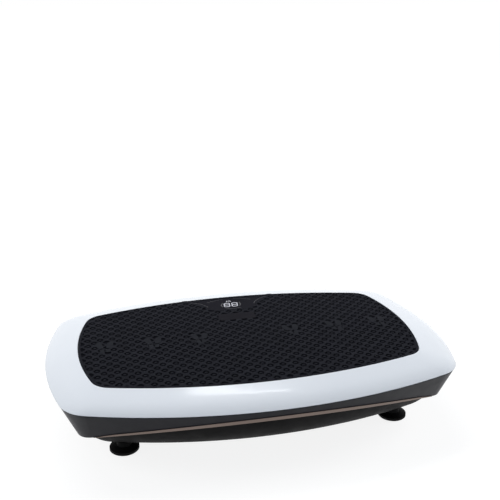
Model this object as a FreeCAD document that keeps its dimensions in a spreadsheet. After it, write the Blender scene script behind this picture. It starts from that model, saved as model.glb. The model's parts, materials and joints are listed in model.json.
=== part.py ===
"""Oscillating vibration plate: a rocking deck on a tray-shaped base, driven by a belt and an eccentric.

Millimetres, +Z up, +X along the plate, the display towards +Y, origin on the floor under the centre.
"""
import FreeCAD, Part
import Sketcher
import math
import os
from types import SimpleNamespace

os.makedirs("parts", exist_ok=True)
document = FreeCAD.newDocument("vibration_plate")

# ---------------------------------------------------------------- driving sizes
DRIVING = {
    # plan outline: two long arcs, two end arcs and four corner arcs
    "overall_length": 670.0,
    "overall_depth": 459.0,
    "overall_height": 118.0,
    "end_radius": 499.0,
    "side_radius": 847.0,
    "corner_radius": 55.0,
    # mat and its recess in the cover
    "mat_length": 565.8,
    "mat_depth": 343.4,
    "mat_end_radius": 378.0,
    "mat_side_radius": 864.0,
    "mat_corner_radius": 35.5,
    "mat_offset": 4.0,
    "mat_thickness": 3.4,
    "mat_proud": 0.8,
    "mat_gap": 0.5,
    # deck cover
    "cover_drop": 14.3,
    "cover_lip": 1.5,
    "cover_wall": 3.0,
    "cover_rib": 2.0,
    "rib_pitch": 75.0,
    "boss_radius": 4.5,
    "step_inset": 2.0,
    # display
    "panel_top_width": 154.0,
    "panel_waist_width": 92.0,
    "panel_foot_width": 58.0,
    "panel_depth": 54.0,
    "panel_waist_share": 0.55,
    "panel_nip": 4.0,
    "panel_edge_gap": 6.5,
    "panel_thickness": 2.6,
    "led_length": 38.0,
    "led_depth": 30.0,
    "led_height": 7.0,
    "led_shift": 2.0,
    "led_clear": 1.0,
    "digit_rim_x": 2.0,
    "digit_rim_y": 3.0,
    "digit_well": 1.0,
    "board_thickness": 1.6,
    "display_board_length": 84.0,
    "display_board_depth": 40.0,
    "display_bay_x": 4.0,
    "display_bay_y": 6.0,
    "peg_inset_x": 6.0,
    "peg_inset_y": 5.0,
    # skirt and its trim
    "seam_gap": 1.2,
    "seam_step": 0.8,
    "skirt_draft": 0.45,
    "skirt_wall": 2.6,
    "skirt_mid_height": 19.3,
    "skirt_drop": 64.0,
    "arch_radius": 1316.0,
    "flange_width": 14.0,
    "flange_screw_inset": 10.2,
    "trim_height": 4.6,
    "trim_stand": 1.1,
    "trim_half_span": 272.0,
    # base pan
    "floor_gap": 18.0,
    "pan_rim_drop": 34.0,
    "pan_wall": 3.0,
    "pan_corner_radius": 22.0,
    "pan_foot_inset": 74.0,
    "pan_heel_inset": 57.5,
    "pan_heel_rise": 8.0,
    "pan_belly_inset": 39.5,
    "pan_belly_rise": 26.0,
    "pan_rim_inset": 18.0,
    "pan_rib": 2.4,
    "pan_rib_rise": 2.0,
    "pan_rib_reach": 40.0,
    "pan_tie_reach": 20.0,
    "pan_open": 2.0,
    "vent_width": 3.0,
    "vent_pitch": 7.8,
    "vent_inset": 10.0,
    # connector bay in the pan's back wall
    "bay_width": 104.0,
    "bay_height": 44.0,
    "bay_low": 30.0,
    "bay_depth": 67.5,
    "bay_wall": 4.0,
    # feet
    "foot_inset_x": 113.0,
    "foot_inset_y": 114.5,
    "foot_radius": 23.0,
    "foot_rim_height": 5.0,
    "foot_lip": 4.0,
    "foot_edge": 1.0,
    "foot_step": 2.0,
    "foot_shoulder": 5.0,
    "foot_web": 4.0,
    "foot_hollow": 3.5,
    "foot_neck_radius": 11.0,
    "foot_stud_radius": 4.0,
    "foot_stud_height": 27.0,
    "foot_nut_radius": 6.5,
    "foot_boss_height": 12.0,
    # chassis
    "chassis_clear": 11.0,
    "chassis_inset_y": 113.5,
    "bolt_inset_x": 14.0,
    "bolt_inset_y": 42.0,
    "sheet_steel": 3.0,
    "window_length": 60.0,
    "window_depth": 84.0,
    "window_y": -20.0,
    # rocking pivot
    "pivot_drop": 38.0,
    "pivot_inset": 21.0,
    "pivot_pin_radius": 6.0,
    "pivot_pin_head": 3.0,
    "bearing_radius": 14.0,
    "bearing_width": 8.0,
    "race_depth": 1.0,
    "stand_radius": 18.0,
    "stand_thickness": 12.0,
    "stand_foot": 56.0,
    "ear_gap": 2.0,
    "ear_radius": 12.0,
    "rail_drop": 7.6,
    "rail_height": 14.0,
    "rail_width": 30.0,
    "rail_inset": 65.0,
    "cross_reach": 200.0,
    "cover_screw_inset": 24.0,
    "cross_width": 24.0,
    # eccentric drive
    "crank_x": 80.0,
    "crank_z": 50.5,
    "throw": 1.25,
    "crank_journal_radius": 6.0,
    "crank_pin_radius": 7.5,
    "crank_pin_width": 14.0,
    "crank_stand_y": 26.0,
    "link_thickness": 12.0,
    "link_bearing_radius": 16.0,
    "link_bearing_width": 9.0,
    "link_rim": 5.0,
    "link_pin_drop": 22.0,
    "link_pin_radius": 5.0,
    "link_pin_head": 2.5,
    "link_ear_rim": 4.0,
    "link_eye_clearance": 3.2,
    "link_web": 14.0,
    # belt drive
    "belt_y": 50.0,
    "belt_width": 10.0,
    "belt_thickness": 2.0,
    "driven_radius": 20.0,
    "drive_radius": 10.0,
    "pulley_flange": 2.0,
    # motor
    "motor_x": -110.0,
    "motor_z": 55.0,
    "motor_radius": 27.0,
    "motor_wall": 2.5,
    "motor_front": 32.0,
    "motor_back": -62.0,
    "motor_cap": 5.0,
    "cap_edge": 1.0,
    "cap_step": 2.0,
    "cap_hub": 5.0,
    "bracket_margin": 6.0,
    "bracket_toe": 26.4,
    "saddle_drop": 4.0,
    "saddle_inset": 2.0,
    "shaft_over": 2.0,
    "motor_shaft_radius": 4.0,
    "armature_radius": 19.0,
    "magnet_thickness": 4.0,
    "magnet_inset": 12.0,
    "armature_inset": 15.0,
    "armature_slot": 2.5,
    # stops
    "stop_inset": 20.0,
    "stop_gap": 4.0,
    "buffer_radius": 13.0,
    "buffer_height": 20.0,
    "buffer_dome": 6.0,
    "buffer_tip_radius": 7.8,
    "post_radius": 9.0,
    "post_flange": 5.0,
    # electronics
    "driver_clear": 12.0,
    "driver_length": 60.0,
    "driver_depth": 120.0,
    "standoff_height": 7.0,
    "standoff_radius": 3.0,
    "capacitor_x": -14.0,
    "capacitor_radius": 9.0,
    "capacitor_height": 26.0,
    "capacitor_row": 13.5,
    "sink_x": 14.0,
    "sink_width": 22.0,
    "sink_depth": 70.0,
    "sink_base": 4.0,
    "sink_height": 18.0,
    "sink_fin": 1.6,
    "sink_pitch": 5.0,
    # inlet and switch
    "inlet_x": -20.0,
    "inlet_width": 50.0,
    "inlet_height": 26.0,
    "inlet_mouth_width": 24.0,
    "inlet_mouth_height": 16.4,
    "inlet_depth": 18.0,
    "inlet_plate": 2.5,
    "inlet_ear_inset": 5.0,
    "pin_length": 11.0,
    "pin_thickness": 2.0,
    "pin_height": 4.0,
    "pin_reach": 7.0,
    "pin_drop": 2.0,
    "pin_rise": 3.0,
    "switch_x": 34.0,
    "switch_width": 15.5,
    "switch_height": 25.0,
    "switch_depth": 17.0,
    "switch_lip": 1.0,
    "bezel_thickness": 2.0,
    "well_depth": 24.0,
    "rocker_width": 10.0,
    "rocker_half": 9.0,
    "rocker_face": 2.8,
    "rocker_root": 4.0,
    "rocker_skirt": 1.0,
    "rocker_clear": 1.4,
    "trunnion_radius": 1.5,
    "trunnion_reach": 1.0,
    "rocker_tilt": 10.0,
    # fits
    "running_fit": 0.08,
    "seat_gap": 0.1,
    "part_gap": 0.3,
    "drill_over": 5.0,
    "screw_radius": 2.0,
    "screw_head": 4.0,
}

sheet = document.addObject("Spreadsheet::Sheet", "Sizes")
for row, (alias, number) in enumerate(DRIVING.items(), start=1):
    sheet.set(f"A{row}", alias)
    sheet.set(f"B{row}", str(number))
    sheet.setAlias(f"B{row}", alias)
document.recompute()


class Size:
    """A length known both as a number and as an expression of the sheet's cells."""

    def __init__(self, number, text):
        self.number = number
        self.text = text

    @staticmethod
    def of(value):
        if isinstance(value, Size):
            return value
        return Size(float(value), f"({float(value)})")

    def joined(self, sign, other, number):
        return Size(number, f"({self.text} {sign} {other.text})")

    def __add__(self, other):
        other = Size.of(other)
        return self.joined("+", other, self.number + other.number)

    def __sub__(self, other):
        other = Size.of(other)
        return self.joined("-", other, self.number - other.number)

    def __mul__(self, other):
        other = Size.of(other)
        return self.joined("*", other, self.number * other.number)

    def __truediv__(self, other):
        other = Size.of(other)
        return self.joined("/", other, self.number / other.number)

    def __radd__(self, other):
        return Size.of(other) + self

    def __rsub__(self, other):
        return Size.of(other) - self

    def __rmul__(self, other):
        return Size.of(other) * self

    def __neg__(self):
        return Size.of(0) - self

    def root(self):
        return Size(math.sqrt(self.number), f"sqrt({self.text})")


size = SimpleNamespace(**{name: Size(value, f"Sizes.{name}") for name, value in DRIVING.items()})

# places that follow the outline and each other
foot_x = size.overall_length / 2 - size.foot_inset_x
foot_y = size.overall_depth / 2 - size.foot_inset_y
chassis_length = 2 * (foot_x - size.foot_neck_radius - size.chassis_clear)
chassis_depth = size.overall_depth - 2 * size.chassis_inset_y
pivot_y = chassis_depth / 2 - size.pivot_inset
stop_x = chassis_length / 2 - size.stop_inset
rail_length = size.overall_length - 2 * size.rail_inset
bay_face = size.overall_depth / 2 - size.bay_depth
driver_x = size.crank_x + size.stand_foot / 2 + size.driver_clear + size.driver_length / 2
rail_wall = size.sheet_steel * 0.8


# ---------------------------------------------------------------- document helpers
def bind(thing, prop, value):
    value = Size.of(value)
    thing.setExpression(prop, value.text)


def place(thing, x, y, z):
    for letter, value in zip("xyz", (x, y, z)):
        bind(thing, f"Placement.Base.{letter}", value)
    return thing


def box(name, length, depth, height, x, y, z):
    """A block from its low corner."""
    block = document.addObject("Part::Box", name)
    bind(block, "Length", length)
    bind(block, "Width", depth)
    bind(block, "Height", height)
    return place(block, x, y, z)


def slab(name, length, depth, height, x, y, z):
    """A block centred on x and y, standing on z."""
    return box(name, length, depth, height, x - length / 2, y - depth / 2, z)


TURNS = {
    "Z": FreeCAD.Rotation(),
    "Y": FreeCAD.Rotation(FreeCAD.Vector(1, 0, 0), -90),
    "X": FreeCAD.Rotation(FreeCAD.Vector(0, 1, 0), 90),
}


def rod(name, radius, length, x, y, z, along="Z"):
    """A cylinder that starts at a point and runs along a positive axis."""
    cylinder = document.addObject("Part::Cylinder", name)
    bind(cylinder, "Radius", radius)
    bind(cylinder, "Height", length)
    cylinder.Placement = FreeCAD.Placement(FreeCAD.Vector(), TURNS[along])
    return place(cylinder, x, y, z)


def fuse(name, *shapes):
    joined = document.addObject("Part::MultiFuse", name)
    joined.Shapes = list(shapes)
    joined.Refine = True
    return joined


def common(name, *shapes):
    shared = document.addObject("Part::MultiCommon", name)
    shared.Shapes = list(shapes)
    return shared


def cut(name, base, *tools):
    result = document.addObject("Part::Cut", name)
    result.Base = base
    result.Tool = tools[0] if len(tools) == 1 else fuse(name + "_tools", *tools)
    return result


def tube(name, outer, inner, length, x, y, z, along="Z"):
    """A ring: an outer cylinder less a longer inner one."""
    skin = rod(name + "_skin", outer, length, x, y, z, along)
    start = {"X": (x - 1, y, z), "Y": (x, y - 1, z), "Z": (x, y, z - 1)}[along]
    bore = rod(name + "_bore", inner, length + 2, *start, along)
    return cut(name, skin, bore)


def group(name, *shapes):
    bundle = document.addObject("Part::Compound", name)
    bundle.Links = list(shapes)
    return bundle


pieces = {}


def keep(node, thing):
    """Name a finished sub-part after its node."""
    thing.Label = node
    pieces[node] = thing
    return thing


def body(name):
    return document.addObject("PartDesign::Body", name)


def sketch_on(owner, name, role, offset=0, shift=0):
    """A sketch on one of the body's own planes, moved along the plane's normal and its second axis."""
    drawing = owner.newObject("Sketcher::SketchObject", name)
    plane = next(item for item in owner.Origin.OriginFeatures if item.Role == role)
    drawing.AttachmentSupport = [(plane, "")]
    drawing.MapMode = "FlatFace"
    bind(drawing, "AttachmentOffset.Base.z", offset)
    bind(drawing, "AttachmentOffset.Base.y", shift)
    return drawing


ORIGIN = (-1, 1)
AXES = (-1, -2)


def rule(drawing, *terms, value=None):
    """Add a constraint, and tie its value to the sheet."""
    if value is None:
        drawing.addConstraint(Sketcher.Constraint(*terms))
        return
    value = Size.of(value)
    index = drawing.addConstraint(Sketcher.Constraint(*terms, value.number))
    drawing.setExpression(f"Constraints[{index}]", value.text)


def pin_point(drawing, item, spot, x, y):
    """Hold a point of an item at x, y from the sketch's origin."""
    along, up = AXES
    for kind, axis, value in (("DistanceX", up, Size.of(x)), ("DistanceY", along, Size.of(y))):
        if abs(value.number) < 1e-9:
            rule(drawing, "PointOnObject", item, spot, axis)
        elif value.number > 0:
            rule(drawing, kind, *ORIGIN, item, spot, value=value)
        else:
            rule(drawing, kind, item, spot, *ORIGIN, value=-value)


def polygon(drawing, points):
    """A closed outline of straight edges through pinned corners."""
    corners = [(Size.of(x), Size.of(y)) for x, y in points]
    flat = [FreeCAD.Vector(x.number, y.number, 0) for x, y in corners]
    first = drawing.GeometryCount
    for start, end in zip(flat, flat[1:] + flat[:1]):
        drawing.addGeometry(Part.LineSegment(start, end), False)
    count = len(corners)
    for step in range(count):
        rule(drawing, "Coincident", first + step, 2, first + (step + 1) % count, 1)
    for step, (x, y) in enumerate(corners):
        pin_point(drawing, first + step, 1, x, y)


def hole(drawing, radius, x, y):
    """A circle in a sketch."""
    radius, x, y = Size.of(radius), Size.of(x), Size.of(y)
    circle = Part.Circle(FreeCAD.Vector(x.number, y.number, 0), FreeCAD.Vector(0, 0, 1), radius.number)
    item = drawing.addGeometry(circle, False)
    rule(drawing, "Radius", item, value=radius)
    pin_point(drawing, item, 3, x, y)


class Outline:
    """The plate's plan shape: end arcs, side arcs and corner arcs, all tangent."""

    def __init__(self, half_length, half_depth, end_radius, side_radius, corner_radius):
        self.sizes = [Size.of(v) for v in (half_length, half_depth, end_radius, side_radius, corner_radius)]

    def inset(self, distance, corner_radius=None):
        moved = [value - distance for value in self.sizes]
        if corner_radius is not None:
            moved[4] = Size.of(corner_radius)
        return Outline(*moved)

    def between(self, other, share):
        mixed = [one * (1 - share) + two * share for one, two in zip(self.sizes, other.sizes)]
        return Outline(*mixed)

    def corner(self):
        """Centre of the corner arc, where circles about the side and end arcs' centres cross."""
        length, depth, end, side, round_ = (value.number for value in self.sizes)
        low = (0.0, depth - side)
        left = (length - end, 0.0)
        reach_low, reach_left = side - round_, end - round_
        span = math.dist(low, left)
        along = (reach_low**2 - reach_left**2 + span**2) / (2 * span)
        off = math.sqrt(reach_low**2 - along**2)
        ux, uy = (left[0] - low[0]) / span, (left[1] - low[1]) / span
        spots = [(low[0] + along * ux + s * off * uy, low[1] + along * uy - s * off * ux) for s in (1, -1)]
        return max(spots, key=sum)

    def draw(self, drawing):
        length, depth, end, side, round_ = self.sizes
        kx, ky = self.corner()
        side_turn = math.atan2(ky - (depth.number - side.number), kx)
        end_turn = math.atan2(ky, kx - (length.number - end.number))
        half = math.pi
        arcs = [
            (end, length.number - end.number, 0, -end_turn, end_turn),
            (round_, kx, ky, end_turn, side_turn),
            (side, 0, depth.number - side.number, side_turn, half - side_turn),
            (round_, -kx, ky, half - side_turn, half - end_turn),
            (end, end.number - length.number, 0, half - end_turn, half + end_turn),
            (round_, -kx, -ky, half + end_turn, half + side_turn),
            (side, 0, side.number - depth.number, half + side_turn, 2 * half - side_turn),
            (round_, kx, -ky, 2 * half - side_turn, 2 * half - end_turn),
        ]
        for radius, x, y, start, stop in arcs:
            circle = Part.Circle(FreeCAD.Vector(x, y, 0), FreeCAD.Vector(0, 0, 1), radius.number)
            item = drawing.addGeometry(Part.ArcOfCircle(circle, start, stop), False)
            rule(drawing, "Radius", item, value=radius)
        for step in range(8):
            rule(drawing, "Tangent", step, 2, (step + 1) % 8, 1)
        pin_point(drawing, 0, 3, length - end, 0)
        pin_point(drawing, 4, 3, end - length, 0)
        pin_point(drawing, 2, 3, 0, depth - side)
        pin_point(drawing, 6, 3, 0, side - depth)


def level(owner, name, outline, z, shift=0):
    """The outline drawn at a height."""
    drawing = sketch_on(owner, name, "XY_Plane", z, shift)
    outline.draw(drawing)
    return drawing


def loft(owner, name, drawings, hollow=False, ruled=False):
    kind = "PartDesign::SubtractiveLoft" if hollow else "PartDesign::AdditiveLoft"
    feature = owner.newObject(kind, name)
    feature.Profile = drawings[0]
    feature.Sections = drawings[1:]
    feature.Ruled = ruled
    owner.Tip = feature
    return feature


def pad(owner, name, drawing, length):
    feature = owner.newObject("PartDesign::Pad", name)
    feature.Profile = drawing
    bind(feature, "Length", length)
    owner.Tip = feature
    return feature


def pocket(owner, name, drawing, length, reverse=False):
    feature = owner.newObject("PartDesign::Pocket", name)
    feature.Profile = drawing
    feature.Reversed = reverse
    bind(feature, "Length", length)
    owner.Tip = feature
    return feature


def turned(name, points, x, y, z, along="Z"):
    """A solid of revolution from (radius, height) corners, standing at a point."""
    owner = body(name)
    drawing = sketch_on(owner, name + "_profile", "XZ_Plane")
    polygon(drawing, points)
    feature = owner.newObject("PartDesign::Revolution", name + "_turn")
    feature.Profile = drawing
    feature.ReferenceAxis = (drawing, ["V_Axis"])
    feature.Angle = 360.0
    owner.Tip = feature
    owner.Placement = FreeCAD.Placement(FreeCAD.Vector(), TURNS[along])
    return place(owner, x, y, z)


def profile_along_y(name, points, low, thickness, holes=()):
    """A plate drawn in X and Z that fills low to low + thickness in Y."""
    owner = body(name)
    drawing = sketch_on(owner, name + "_profile", "XZ_Plane", -(low + thickness))
    polygon(drawing, points)
    for radius, x, z in holes:
        hole(drawing, radius, x, z)
    pad(owner, name + "_pad", drawing, thickness)
    return owner


def profile_along_x(name, points, low, length, holes=()):
    """A section drawn in Y and Z that fills low to low + length in X."""
    owner = body(name)
    drawing = sketch_on(owner, name + "_profile", "YZ_Plane", low)
    polygon(drawing, points)
    for radius, y, z in holes:
        hole(drawing, radius, y, z)
    pad(owner, name + "_pad", drawing, length)
    return owner


def four(name, make, x, y):
    """The same piece at four places that mirror each other."""
    spots = ((-x, -y), (x, -y), (-x, y), (x, y))
    return group(name, *(make(f"{name}_{n}", px, py) for n, (px, py) in enumerate(spots)))


# ---------------------------------------------------------------- shared heights and outlines
seam_z = size.overall_height - size.mat_proud - size.cover_drop
cover_top = size.overall_height - size.mat_proud
recess_z = size.overall_height - size.mat_thickness
ceiling_z = recess_z - size.cover_wall
skirt_top = seam_z - size.seam_gap
skirt_low = skirt_top - size.skirt_drop
arch_mid = skirt_top - size.skirt_mid_height
pan_floor = size.floor_gap + size.pan_wall
chassis_z = pan_floor + size.pan_rib_rise + size.seat_gap
deck_plate = chassis_z + size.sheet_steel
rail_top = ceiling_z - size.rail_drop
rail_low = rail_top - size.rail_height
pivot_z = rail_top - size.pivot_drop
link_pin_z = rail_top - size.link_pin_drop
pan_top = size.overall_height - size.pan_rim_drop

plate = Outline(size.overall_length / 2, size.overall_depth / 2,
                size.end_radius, size.side_radius, size.corner_radius)
mat_edge = Outline(size.mat_length / 2, size.mat_depth / 2,
                   size.mat_end_radius, size.mat_side_radius, size.mat_corner_radius)


# ---------------------------------------------------------------- deck: cover, mat and display
CROWN = ((0.0, 0.0), (0.45, 0.30), (0.85, 0.72), (1.0, 1.0))
CAVITY_SHARE = 0.28


def cavity(name):
    """The hollow under the cover, from the seam up to the ceiling."""
    owner = body(name)
    low = level(owner, name + "_low", plate.inset(size.cover_wall), seam_z - size.seam_gap)
    top = level(owner, name + "_top", mat_edge.between(plate, CAVITY_SHARE), ceiling_z,
                size.mat_offset * (1 - CAVITY_SHARE))
    loft(owner, name + "_loft", [low, top])
    return owner


def cover_shell():
    """The crowned outer skin, hollow below, with the mat's recess on top."""
    owner = body("cover_shell")
    rim = mat_edge.inset(-size.cover_lip)
    rings = []
    for step, (share, drop) in enumerate(CROWN):
        z = cover_top - size.cover_drop * drop
        rings.append(level(owner, f"cover_ring_{step}", rim.between(plate, share), z,
                           size.mat_offset * (1 - share)))
    loft(owner, "cover_crown", rings)
    recess = level(owner, "cover_recess", mat_edge, cover_top, size.mat_offset)
    pocket(owner, "cover_recess_pocket", recess, size.mat_thickness - size.mat_proud)
    return owner


panel_y = size.mat_depth / 2 + size.mat_offset - size.panel_edge_gap
led_y = panel_y - size.panel_depth / 2 + size.led_shift


def cover_ribs():
    """Stiffening ribs, screw bosses and the rim's locating step, trimmed to the hollow."""
    low = rail_top + size.part_gap
    tall = size.overall_height - low
    across = [slab(f"rib_across_{n}", size.cover_rib, size.overall_depth, tall, size.rib_pitch * n, 0, low)
              for n in (-3, -2, -1, 1, 2, 3)]
    along = [slab(f"rib_along_{n}", size.overall_length, size.cover_rib, tall, 0, size.rib_pitch * n, low)
             for n in (-2, -1, 0, 1, 2)]
    bosses = [rod(f"cover_boss_{n}", size.boss_radius, tall, x, y, low)
              for n, (x, y) in enumerate(COVER_SCREWS)]
    rim_low = skirt_top + size.seat_gap
    rim_bosses = [rod(f"rim_boss_{n}", size.boss_radius, size.overall_height - rim_low, x, y, rim_low)
                  for n, (x, y) in enumerate(SKIRT_SCREWS)]
    step = body("locating_step")
    outer = level(step, "step_outer", plate.inset(size.cover_wall + size.step_inset), rim_low)
    pad(step, "step_pad", outer, size.cover_drop)
    inner = level(step, "step_inner", plate.inset(size.cover_wall + 2 * size.step_inset), skirt_top)
    pocket(step, "step_pocket", inner, size.cover_drop * 2, reverse=True)
    display_bay = slab("display_bay", size.display_board_length + 2 * size.display_bay_x,
                       size.display_board_depth + 2 * size.display_bay_y, tall * 3, 0, led_y, low - tall)
    ribs = cut("rib_grid", fuse("rib_net", *across, *along, *bosses), display_bay)
    peg_low = BOARD_Z + size.board_thickness + size.seat_gap
    pegs = [rod(f"display_peg_{n}", size.screw_radius, tall, x, y, peg_low)
            for n, (x, y) in enumerate(DISPLAY_PEGS)]
    net = fuse("cover_net", ribs, *rim_bosses, *pegs, step)
    return common("cover_inside", net, cavity("cover_hollow_copy"))


half_rail = rail_length / 2
SCREW_ROW = (half_rail - size.cover_screw_inset, size.cross_reach / 2)
COVER_SCREWS = [(x * n, pivot_y * m) for x in SCREW_ROW for n in (-1, 1) for m in (-1, 1)]
flange_y = size.overall_depth / 2 - size.flange_screw_inset
flange_x = size.overall_length / 2 - size.flange_screw_inset
MIDDLE = Size.of(0)
SKIRT_SCREWS = [(MIDDLE, -flange_y), (MIDDLE, flange_y), (-flange_x, MIDDLE), (flange_x, MIDDLE)]
BOARD_Z = recess_z - size.led_height - size.board_thickness
peg_x = size.display_board_length / 2 - size.peg_inset_x
peg_y = size.display_board_depth / 2 - size.peg_inset_y
DISPLAY_PEGS = [(x, y) for x in (-peg_x, peg_x) for y in (led_y - peg_y, led_y + peg_y)]


def deck_cover():
    shell = cut("cover_hollowed", cover_shell(), cavity("cover_hollow"))
    ribbed = fuse("cover_ribbed", shell, cover_ribs())
    window = slab("led_window", size.led_length + 2 * size.led_clear, size.led_depth + 2 * size.led_clear,
                  size.cover_wall * 3, 0, led_y, ceiling_z - size.cover_wall)
    bore = size.screw_radius + size.seat_gap
    deep = rail_top - size.sheet_steel
    pilots = [rod(f"cover_pilot_{n}", bore, ceiling_z - deep, x, y, deep)
              for n, (x, y) in enumerate(COVER_SCREWS)]
    rim_pilots = [rod(f"rim_pilot_{n}", bore, 2 * size.seam_gap + 2, x, y, skirt_top - 1)
                  for n, (x, y) in enumerate(SKIRT_SCREWS)]
    return keep("deck_cover", cut("deck_cover", ribbed, window, *pilots, *rim_pilots))


def shield(grow):
    """The display panel's outline, from its wide top edge to its narrow foot."""
    top = size.panel_top_width / 2 + grow
    waist = size.panel_waist_width / 2 + grow
    foot = size.panel_foot_width / 2 + grow
    high, low = panel_y + grow, panel_y - size.panel_depth - grow
    middle = panel_y - size.panel_depth * size.panel_waist_share - grow
    heel = low + size.panel_nip * 2
    nip = size.panel_nip
    shoulder = panel_y - nip
    return [(-foot, low), (foot, low), (waist, heel), (waist, middle), (top, shoulder),
            (top - nip, high), (-top + nip, high), (-top, shoulder), (-waist, middle), (-waist, heel)]


def anti_slip_mat():
    owner = body("anti_slip_mat")
    pad(owner, "mat_pad", level(owner, "mat_outline", mat_edge.inset(size.mat_gap), recess_z + size.seat_gap,
                                size.mat_offset), size.mat_thickness - size.seat_gap)
    opening = sketch_on(owner, "mat_opening", "XY_Plane", size.overall_height)
    polygon(opening, shield(size.part_gap))
    pocket(owner, "mat_opening_pocket", opening, size.mat_thickness * 2)
    return keep("anti_slip_mat", owner)


def display_panel():
    owner = body("display_panel")
    drawing = sketch_on(owner, "panel_outline", "XY_Plane", recess_z + size.seat_gap)
    polygon(drawing, shield(0))
    pad(owner, "panel_pad", drawing, size.panel_thickness)
    return keep("display_panel", owner)


def led_module():
    """The two-digit block, with a notch for each digit in its face."""
    case = slab("led_case", size.led_length, size.led_depth, size.led_height - size.seat_gap, 0, led_y,
                BOARD_Z + size.board_thickness + size.seat_gap)
    wells = [slab(f"digit_well_{n}", size.led_length / 2 - 2 * size.digit_rim_x,
                  size.led_depth - 2 * size.digit_rim_y, 2 * size.digit_well, size.led_length / 4 * n,
                  led_y, recess_z - size.digit_well) for n in (-1, 1)]
    return keep("led_module", cut("led_module", case, *wells))


def display_board():
    return keep("display_board", slab("display_board", size.display_board_length, size.display_board_depth,
                                      size.board_thickness, 0, led_y, BOARD_Z))


# ---------------------------------------------------------------- deck: skirt and trim
def skirt_outline(z, grow=0):
    """The drafted skirt's outside at a height."""
    return plate.inset(size.seam_step + size.skirt_draft * (skirt_top - z) - grow)


def arch_profile(owner, name, mid, radius, half_span, low):
    """The region under an arc across the plate's front, drawn in X and Z."""
    drawing = sketch_on(owner, name, "XZ_Plane", -size.overall_depth)
    mid, radius, half_span, low = (Size.of(v) for v in (mid, radius, half_span, low))
    lean = math.asin(half_span.number / radius.number)
    centre = FreeCAD.Vector(0, mid.number - radius.number, 0)
    circle = Part.Circle(centre, FreeCAD.Vector(0, 0, 1), radius.number)
    drawing.addGeometry(Part.ArcOfCircle(circle, math.pi / 2 - lean, math.pi / 2 + lean), False)
    shoulder = centre.y + radius.number * math.cos(lean)
    left = FreeCAD.Vector(-half_span.number, shoulder, 0)
    right = FreeCAD.Vector(half_span.number, shoulder, 0)
    low_left = FreeCAD.Vector(-half_span.number, low.number, 0)
    low_right = FreeCAD.Vector(half_span.number, low.number, 0)
    for start, end in ((left, low_left), (low_left, low_right), (low_right, right)):
        drawing.addGeometry(Part.LineSegment(start, end), False)
    for one, spot_one, two, spot_two in ((0, 2, 1, 1), (1, 2, 2, 1), (2, 2, 3, 1), (3, 2, 0, 1)):
        rule(drawing, "Coincident", one, spot_one, two, spot_two)
    rule(drawing, "Radius", 0, value=radius)
    pin_point(drawing, 0, 3, 0, mid - radius)
    rule(drawing, "Vertical", 1)
    rule(drawing, "Vertical", 3)
    pin_point(drawing, 2, 1, -half_span, low)
    pin_point(drawing, 2, 2, half_span, low)
    return drawing


ARCH_REACH = 0.55


def deck_skirt():
    owner = body("skirt_shell")
    top = level(owner, "skirt_top_edge", skirt_outline(skirt_top), skirt_top)
    low = level(owner, "skirt_low_edge", skirt_outline(skirt_low), skirt_low)
    loft(owner, "skirt_outside", [top, low])
    under = skirt_top - size.skirt_wall
    inner_top = level(owner, "skirt_inner_top", skirt_outline(under, -size.skirt_wall), under)
    inner_low = level(owner, "skirt_inner_low", skirt_outline(skirt_low - 1, -size.skirt_wall), skirt_low - 1)
    loft(owner, "skirt_inside", [inner_top, inner_low], hollow=True)
    throat = level(owner, "skirt_throat", plate.inset(size.seam_step + size.flange_width), skirt_top + 1)
    pocket(owner, "skirt_throat_pocket", throat, size.skirt_wall + 3)
    arch = body("skirt_arch")
    region = arch_profile(arch, "arch_region", arch_mid, size.arch_radius,
                          size.overall_length * ARCH_REACH, size.floor_gap - 20)
    pad(arch, "arch_pad", region, size.overall_depth * 2)
    holes = [rod(f"skirt_hole_{n}", size.screw_radius + size.seat_gap, 3 * size.skirt_wall, x, y,
                 skirt_top - 2 * size.skirt_wall) for n, (x, y) in enumerate(SKIRT_SCREWS)]
    return keep("deck_skirt", cut("deck_skirt", owner, arch, *holes))


def trim_band(name, grow):
    owner = body(name)
    high, low = arch_mid + size.trim_height * 2, skirt_low
    loft(owner, name + "_loft", [level(owner, name + "_high", skirt_outline(high, grow), high),
                                 level(owner, name + "_low", skirt_outline(low, grow), low)])
    return owner


def trims():
    """Two crescent strips on the skirt's lower edge, thickest in the middle."""
    arch_fall = size.arch_radius - (size.arch_radius * size.arch_radius
                                    - size.trim_half_span * size.trim_half_span).root()
    fall = arch_fall + size.trim_height
    top_radius = (size.trim_half_span * size.trim_half_span + fall * fall) / (2 * fall)
    over = body("trim_over")
    pad(over, "trim_over_pad", arch_profile(over, "trim_over_region", arch_mid + size.trim_height, top_radius,
                                            size.trim_half_span - 4, size.floor_gap), size.overall_depth * 2)
    under = body("trim_under")
    pad(under, "trim_under_pad", arch_profile(under, "trim_under_region", arch_mid, size.arch_radius,
                                              size.overall_length / 2, size.floor_gap - 10),
        size.overall_depth * 2)
    ring = cut("trim_ring", trim_band("trim_outside", size.trim_stand),
               trim_band("trim_inside", size.seat_gap))
    front_half = box("trim_front_half", size.overall_length, size.overall_depth, size.overall_height,
                     -size.overall_length / 2, -size.overall_depth, 0)
    band = cut("trim_crescent", over, under)
    front = keep("front_trim", common("front_trim", ring, band, front_half))
    back = document.addObject("Part::Mirroring", "back_trim")
    back.Source = front
    back.Normal = FreeCAD.Vector(0, 1, 0)
    keep("back_trim", back)


# ---------------------------------------------------------------- deck: steel frame and its pivots
def channel(name, length, width, height, wall, x, y, z):
    """A pressed channel along X, open below, centred on x and y with its top at z + height."""
    skin = slab(name + "_skin", length, width, height, x, y, z)
    inside = slab(name + "_inside", length + 2, width - 2 * wall, height, x, y, z - wall)
    return cut(name, skin, inside)


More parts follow.
